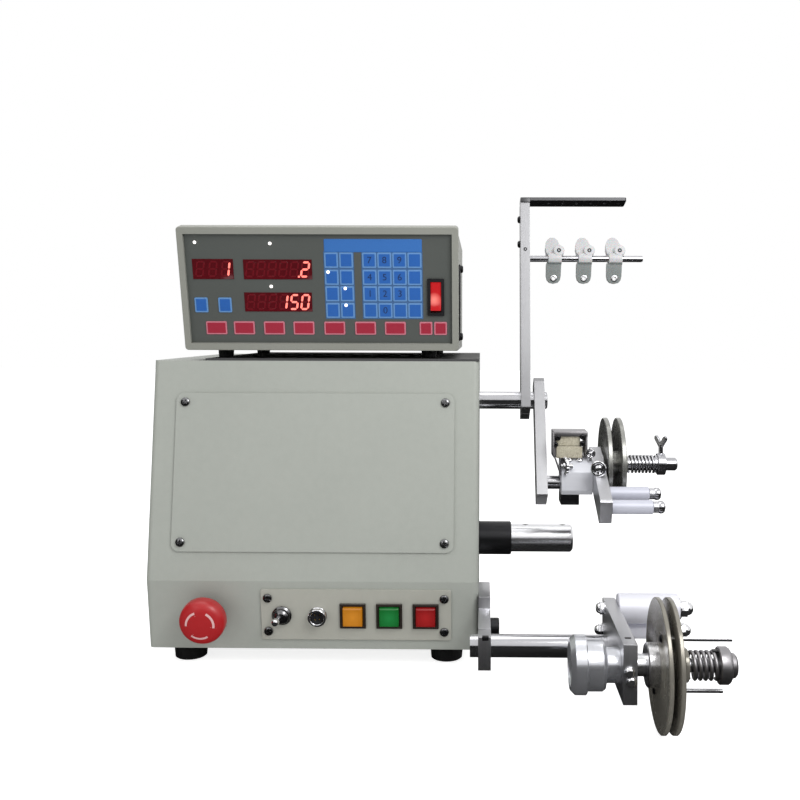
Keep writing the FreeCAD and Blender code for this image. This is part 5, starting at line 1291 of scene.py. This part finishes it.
class WINDER_OT_rod_bracket(bpy.types.Operator):
    """Builds the stepped bracket on the case and its cap screw"""
    bl_idname = "winder.rod_bracket"
    bl_label = "Rod bracket"

    def execute(self, context):
        bracket = plate("stepped_bracket", [(-208, 30), (-83, 30), (-83, 66), (-132, 66),
                                            (-132, 56), (-208, 56)], 10, "yz")
        cut(bracket, bar("cut_bore", 9.0, 14, 64, "x", (-2, *ROD_YZ)),
            slab("cut_slit", (-1, -188.8, 50), (11, -187.2, 58)),
            slab("cut_slot", (3.2, -209, 54), (8.2, -205, 57)))
        bevel(bracket, 0.9, 3, 40)
        dress(seat(bracket, "world", (BRACKET_X, 0, 0)), "plate", "machine", "aluminium",
              "rod_bracket")
        # a black block filling the slot: painted shade inside the slot
        slot_shade = bevel(slab("painted_shade_in_bracket_slot", (146.8, -208.4, 53.4), (151.6, -204.4, 56.4)), 0.3, 2)
        dress(seat(slot_shade), "dark", "machine", "dark_steel")
        head = turned("cap_screw", [(0, 0), (0, 7.1), (0.5, 7.6), (6.6, 7.6), (7.4, 6.8),
                                    (7.4, 0)], "x", 48)
        cut(head, bar("cut_hex", 3.4, 4, 6, "x", (4.4, 0, 0)))
        dress(seat(head, "world", (BRACKET_X + 10, -150, 46)), "dark", "machine", "dark_steel")
        return {"FINISHED"}


class WINDER_OT_nose_screws(bpy.types.Operator):
    """Builds the two set screws on top of the spindle's nose"""
    bl_idname = "winder.nose_screws"
    bl_label = "Nose set screws"

    def execute(self, context):
        screws = []
        for x in (186, 220):
            screw = bar("nose_screw", 2.45, 4.0, 32, "z", (x, -68, 111.2))
            screws.append(seat(cut(screw, bar("cut_hex", 1.2, 2, 6, "z", (x, -68, 114.2)))))
        dress(fuse("nose_screws", screws), "dark", "spindle", "dark_steel")
        return {"FINISHED"}


class WINDER_OT_tension_arm(bpy.types.Operator):
    """Builds the tension arm, its nuts, its brake and its two rollers"""
    bl_idname = "winder.tension_arm"
    bl_label = "Tension arm"

    def execute(self, context):
        arm = plate("tension_plate", [(-278, 31.4), (-159, 30), (-159, 74), (-278, 74)], 10,
                    "yz")
        cut(arm, bar("cut_rod", 9.05, 14, 64, "x", (-2, *ROD_YZ)),
            bar("cut_axle", 7.95, 14, 64, "x", (-2, *AXLE_YZ)),
            slab("cut_slit", (-1, -188.8, 28), (11, -187.2, 36)),
            slab("cut_slot", (3.0, -264.5, 72), (7.6, -261.5, 75)))
        bevel(arm, 0.9, 3, 40)
        studs = [bar("stud", 3, 50, 24, "x", (9.5, *spot)) for spot in ARM_ROLLERS.values()]
        piece = fuse("tension_plate", [arm] + studs)
        dress(seat(piece, "world", (ARM_X, 0, 0)), "plate", "tension", "aluminium",
              "tension_arm")
        nuts = []
        washer = bevel(pin("washer", 0, 1.6, 8.6, steps=48), 0.3, 2)
        nuts.append(seat(washer, "world", (304.8, *ARM_ROLLERS["upper"])))
        for name, across in (("upper", 9.4), ("lower", 8.4)):
            left = move(acorn_nut("left_nut", across, 7.5), turn=180, axis="Z")
            right = acorn_nut("right_nut", across + 2.4, 12.0)
            for nut, x in ((left, ARM_X), (right, 305.8)):
                nuts.append(seat(nut, "world", (x, *ARM_ROLLERS[name])))
        # a black block filling the arm's slot: painted shade inside the slot
        slot_shade = slab("painted_shade_in_arm_slot", (248.5, -264.5, 71.8), (253.1, -261.5, 74.3))
        dress(seat(bevel(slot_shade, 0.3, 2)), "dark", "tension", "dark_steel")
        for x, z in ((249.8, 54.8), (251.2, 48.2)):
            nuts.append(seat(pan_screw("end_screw", 4.1, 3.8, "plain"), "world",
                             (x, -278, z)))
        dress(fuse("arm_nuts", nuts), "chrome", "tension", "polished_steel")
        brake = turned("brake_drum", [
            (211.6, 0), (211.6, 14.0), (210.6, 15.2), (209.6, 15.6), (209.6, 17.6),
            (213.0, 21), (220.6, 21), (221.4, 20.2), (221.4, 18.6), (222.0, 18.4),
            (232.6, 18.4), (234.6, 16.8), (235.4, 13.0), (236.2, 12.6), (245.4, 12.6),
            (245.4, 7.95), (233.5, 7.95), (233.5, 0)], "x", 112)
        dress(seat(brake, "world", (0, *AXLE_YZ)), "spun", "tension", "aluminium",
              "brake_body")
        for name, radius in (("upper", 12.0), ("lower", 7.0)):
            drum = roller(f"{name}_sleeve", 0, 48.5, 3.08, radius, 0.7, 80)
            dress(seat(drum, "world", (255.9, *ARM_ROLLERS[name])), "drum",
                  f"roller_{name}", "aluminium", f"{name}_arm_roller")
        return {"FINISHED"}


class WINDER_OT_tension_wheel(bpy.types.Operator):
    """Builds the large twin-disc wheel, its spring and its nut"""
    bl_idname = "winder.tension_wheel"
    bl_label = "Tension wheel"

    def execute(self, context):
        turns = context.scene.winder_look.wheel_spring_turns
        disc = [(270.4, 24), (270.6, 40), (269.7, 45.6), (269.6, 46.8), (270.1, 47.4),
                (272.3, 47.4), (272.8, 46.9), (273.4, 44), (273.9, 38), (273.9, 22)]
        hub = [(281.1, 22), (281.1, 10), (288.1, 10), (288.1, 11.6), (288.5, 12), (290.7, 12),
               (291.1, 11.6), (291.1, 5.1)]
        discs = turned("wheel_discs", [(269.6, 5.1), (269.6, 22)] + twin(disc, 550.6) + hub,
                       "x", 128, ring=True)
        dress(seat(discs, "wheel", smooth=28), "big_disc", "big_wheel",
              "brushed_steel", "big_wheel_discs")
        spring = coil("wheel_coil", 9.4, 1.4, 22, turns)
        dress(seat(spring, "wheel", (291.1, 0, 0), 60), "strap", "big_wheel",
              "polished_steel", "wheel_spring")
        nut = turned("flange_nut", [
            (312.1, 5.05), (312.1, 12.6), (312.8, 13.3), (318.6, 13.3), (320.2, 12.2),
            (321.1, 10.6), (321.3, 9.2), (324.0, 8.6), (325.4, 7.0), (326.1, 4.2),
            (326.1, 0)], "x", 72)
        tab = bevel(slab("lock_tab", (309, -2.6, 9.6), (318, 2.6, 11.2)), 0.4, 2)
        dress(seat(tab, "wheel"), "dark", "big_wheel", "dark_steel")
        heads = []
        for y, z in ((-12.2, 23), (12.2, -23)):
            head = turned("pin_head", [(0.2, 0), (0.2, 3.0), (-0.6, 3.0), (-1.4, 2.2),
                                       (-1.6, 0)], steps=24)
            heads.append(seat(head, "wheel", (270.2, y, z)))
        dress(fuse("pin_heads", heads), "dark", "big_wheel", "dark_steel")
        dress(seat(nut, "wheel", (1, 0, 0)), "strap", "big_wheel", "polished_steel",
              "wheel_nut")
        return {"FINISHED"}


# --- camera, lights and floor -----------------------------------------------------------------

def card(name, size, at, aim, finish):
    """A flat card that faces a point."""
    deselect()
    bpy.ops.mesh.primitive_plane_add(size=1)
    piece = named(name)
    piece.scale = (size[0], size[1], 1)
    facing = (Vector(aim) - Vector(at)).to_track_quat("Z", "Y").to_matrix().to_4x4()
    piece.matrix_world = (Matrix.Translation(at) @ facing
                          @ Matrix.Diagonal((size[0], size[1], 1, 1)))
    settle()
    piece.data.materials.append(finish)
    return piece


def lamp(name, power, size, at, aim, colour=(1, 1, 1)):
    deselect()
    bpy.ops.object.light_add(type="AREA", location=at)
    made = bpy.context.object
    made.name = name
    made.data.energy = power
    made.data.shape = "RECTANGLE"
    made.data.size, made.data.size_y = size
    made.data.color = colour
    made.rotation_euler = (Vector(aim) - Vector(at)).to_track_quat("-Z", "Y").to_euler()
    return made


class WINDER_OT_stage(bpy.types.Operator):
    """Sets the floor, the white surround, the lights and the camera"""
    bl_idname = "winder.stage"
    bl_label = "Stage"

    def execute(self, context):
        scene = context.scene
        look = scene.winder_look
        scene.view_settings.view_transform = "Standard"
        world = bpy.data.worlds.new("White surround")
        scene.world = world
        world.use_nodes = True
        tree = world.node_tree
        tree.nodes.clear()
        path = tree.nodes.new("ShaderNodeLightPath")
        seen = math_node(tree, "MAXIMUM", (path, "Is Camera Ray"),
                         (path, "Is Transmission Ray"))
        mirrored = math_node(tree, "MULTIPLY", (path, "Is Glossy Ray"), 0.95)
        either = math_node(tree, "MAXIMUM", (seen, 0), (mirrored, 0))
        strength = math_node(tree, "MAXIMUM", (either, 0), 0.5)
        back = add(tree, "Background", Color=WHITE, Strength=(strength, 0))
        add(tree, "OutputWorld", Surface=(back, 0))

        # the floor looks pale to the camera but is dark where metal mirrors it: a painted dark
        # reflection
        floor_finish, tree, shader = blank("Pale floor")
        path = tree.nodes.new("ShaderNodeLightPath")
        base = over(tree, (0.8, 0.8, 0.8, 1), (0.03, 0.03, 0.03, 1), (path, "Is Glossy Ray"))
        glow = math_node(tree, "MULTIPLY", (path, "Is Camera Ray"), 0.82)
        wire(tree, shader, Base_Color=(base, 2), Roughness=0.9, Specular_IOR_Level=0.0,
             Emission_Color=WHITE, Emission_Strength=(glow, 0))
        card("floor", (12, 12), (0, 0, -0.0005), (0, 0, 1), floor_finish)

        # dark cards that only mirrors see stand for the dark of a room
        dark_finish, tree, shader = blank("Dark card")
        wire(tree, shader, Base_Color=(0.01, 0.01, 0.01, 1), Roughness=1.0)
        for name, size, at, aim in (
                ("card_front", (3.4, 0.44), (0.1, -1.45, 0.221), (0.1, 0, 0.221)),
                ("card_left", (2.0, 0.7), (-1.0, -0.4, 0.351), (0.1, -0.4, 0.351))):
            made = card(name, size, at, aim, dark_finish)
            made.visible_camera = made.visible_diffuse = False
            made.visible_shadow = made.visible_transmission = False

        lamp("key", look.lamp_power, (0.9, 0.9), (0.75, -0.95, 1.15), (0.05, 0, 0.2))
        lamp("top", look.lamp_power * 0.7, (1.2, 0.8), (-0.2, 0.1, 1.4), (0, 0, 0.2))
        lamp("sheen", look.lamp_power * 0.2, (0.3, 0.3), (0.36, -0.55, 0.6),
             (0.02, -0.04, 0.22))
        lamp("fill", look.lamp_power * 0.35, (1.0, 1.0), (-1.1, -1.0, 0.5), (0, 0, 0.2))

        eye = bpy.data.cameras.new("view")
        camera = bpy.data.objects.new("view", eye)
        scene.collection.objects.link(camera)
        eye.lens = look.lens
        eye.shift_x, eye.shift_y = CAMERA_SHIFT
        eye.sensor_width = SENSOR_WIDTH
        eye.clip_start, eye.clip_end = 0.05, 50
        camera.matrix_world = (Matrix.Translation(CAMERA_AT)
                               @ Matrix.Rotation(CAMERA_YAW, 4, "Z")
                               @ Matrix.Rotation(QUARTER - CAMERA_PITCH, 4, "X")
                               @ Matrix.Rotation(CAMERA_ROLL, 4, "Z"))
        scene.camera = camera
        return {"FINISHED"}


OPERATORS = (
    WINDER_OT_coats, WINDER_OT_screws, WINDER_OT_feet, WINDER_OT_emergency_stop,
    WINDER_OT_push_buttons, WINDER_OT_toggle_and_socket, WINDER_OT_keypad,
    WINDER_OT_displays, WINDER_OT_power_rocker, WINDER_OT_side_rail, WINDER_OT_stand,
    WINDER_OT_wire_guides, WINDER_OT_winding_head, WINDER_OT_felt_holder,
    WINDER_OT_head_rollers, WINDER_OT_guide_wheel, WINDER_OT_rod_bracket, WINDER_OT_nose_screws,
    WINDER_OT_tension_arm, WINDER_OT_tension_wheel, WINDER_OT_stage,
)


class WINDER_PT_panel(bpy.types.Panel):
    """Lists the winder's pieces and settings in the sidebar"""
    bl_label = "Coil winder"
    bl_idname = "WINDER_PT_panel"
    bl_space_type = "VIEW_3D"
    bl_region_type = "UI"
    bl_category = "Winder"

    def draw(self, context):
        look = context.scene.winder_look
        for name in WinderLook.__annotations__:
            self.layout.prop(look, name)
        for kind in OPERATORS:
            self.layout.operator(kind.bl_idname)


def register():
    bpy.utils.register_class(WinderLook)
    for kind in OPERATORS:
        bpy.utils.register_class(kind)
    bpy.utils.register_class(WINDER_PT_panel)
    bpy.types.Scene.winder_look = bpy.props.PointerProperty(type=WinderLook)


def unregister():
    del bpy.types.Scene.winder_look
    bpy.utils.unregister_class(WINDER_PT_panel)
    for kind in reversed(OPERATORS):
        bpy.utils.unregister_class(kind)
    bpy.utils.unregister_class(WinderLook)


def main():
    register()
    for kind in OPERATORS:
        section, verb = kind.bl_idname.split(".")
        getattr(getattr(bpy.ops, section), verb)()
    deselect()


if __name__ == "__main__":
    main()
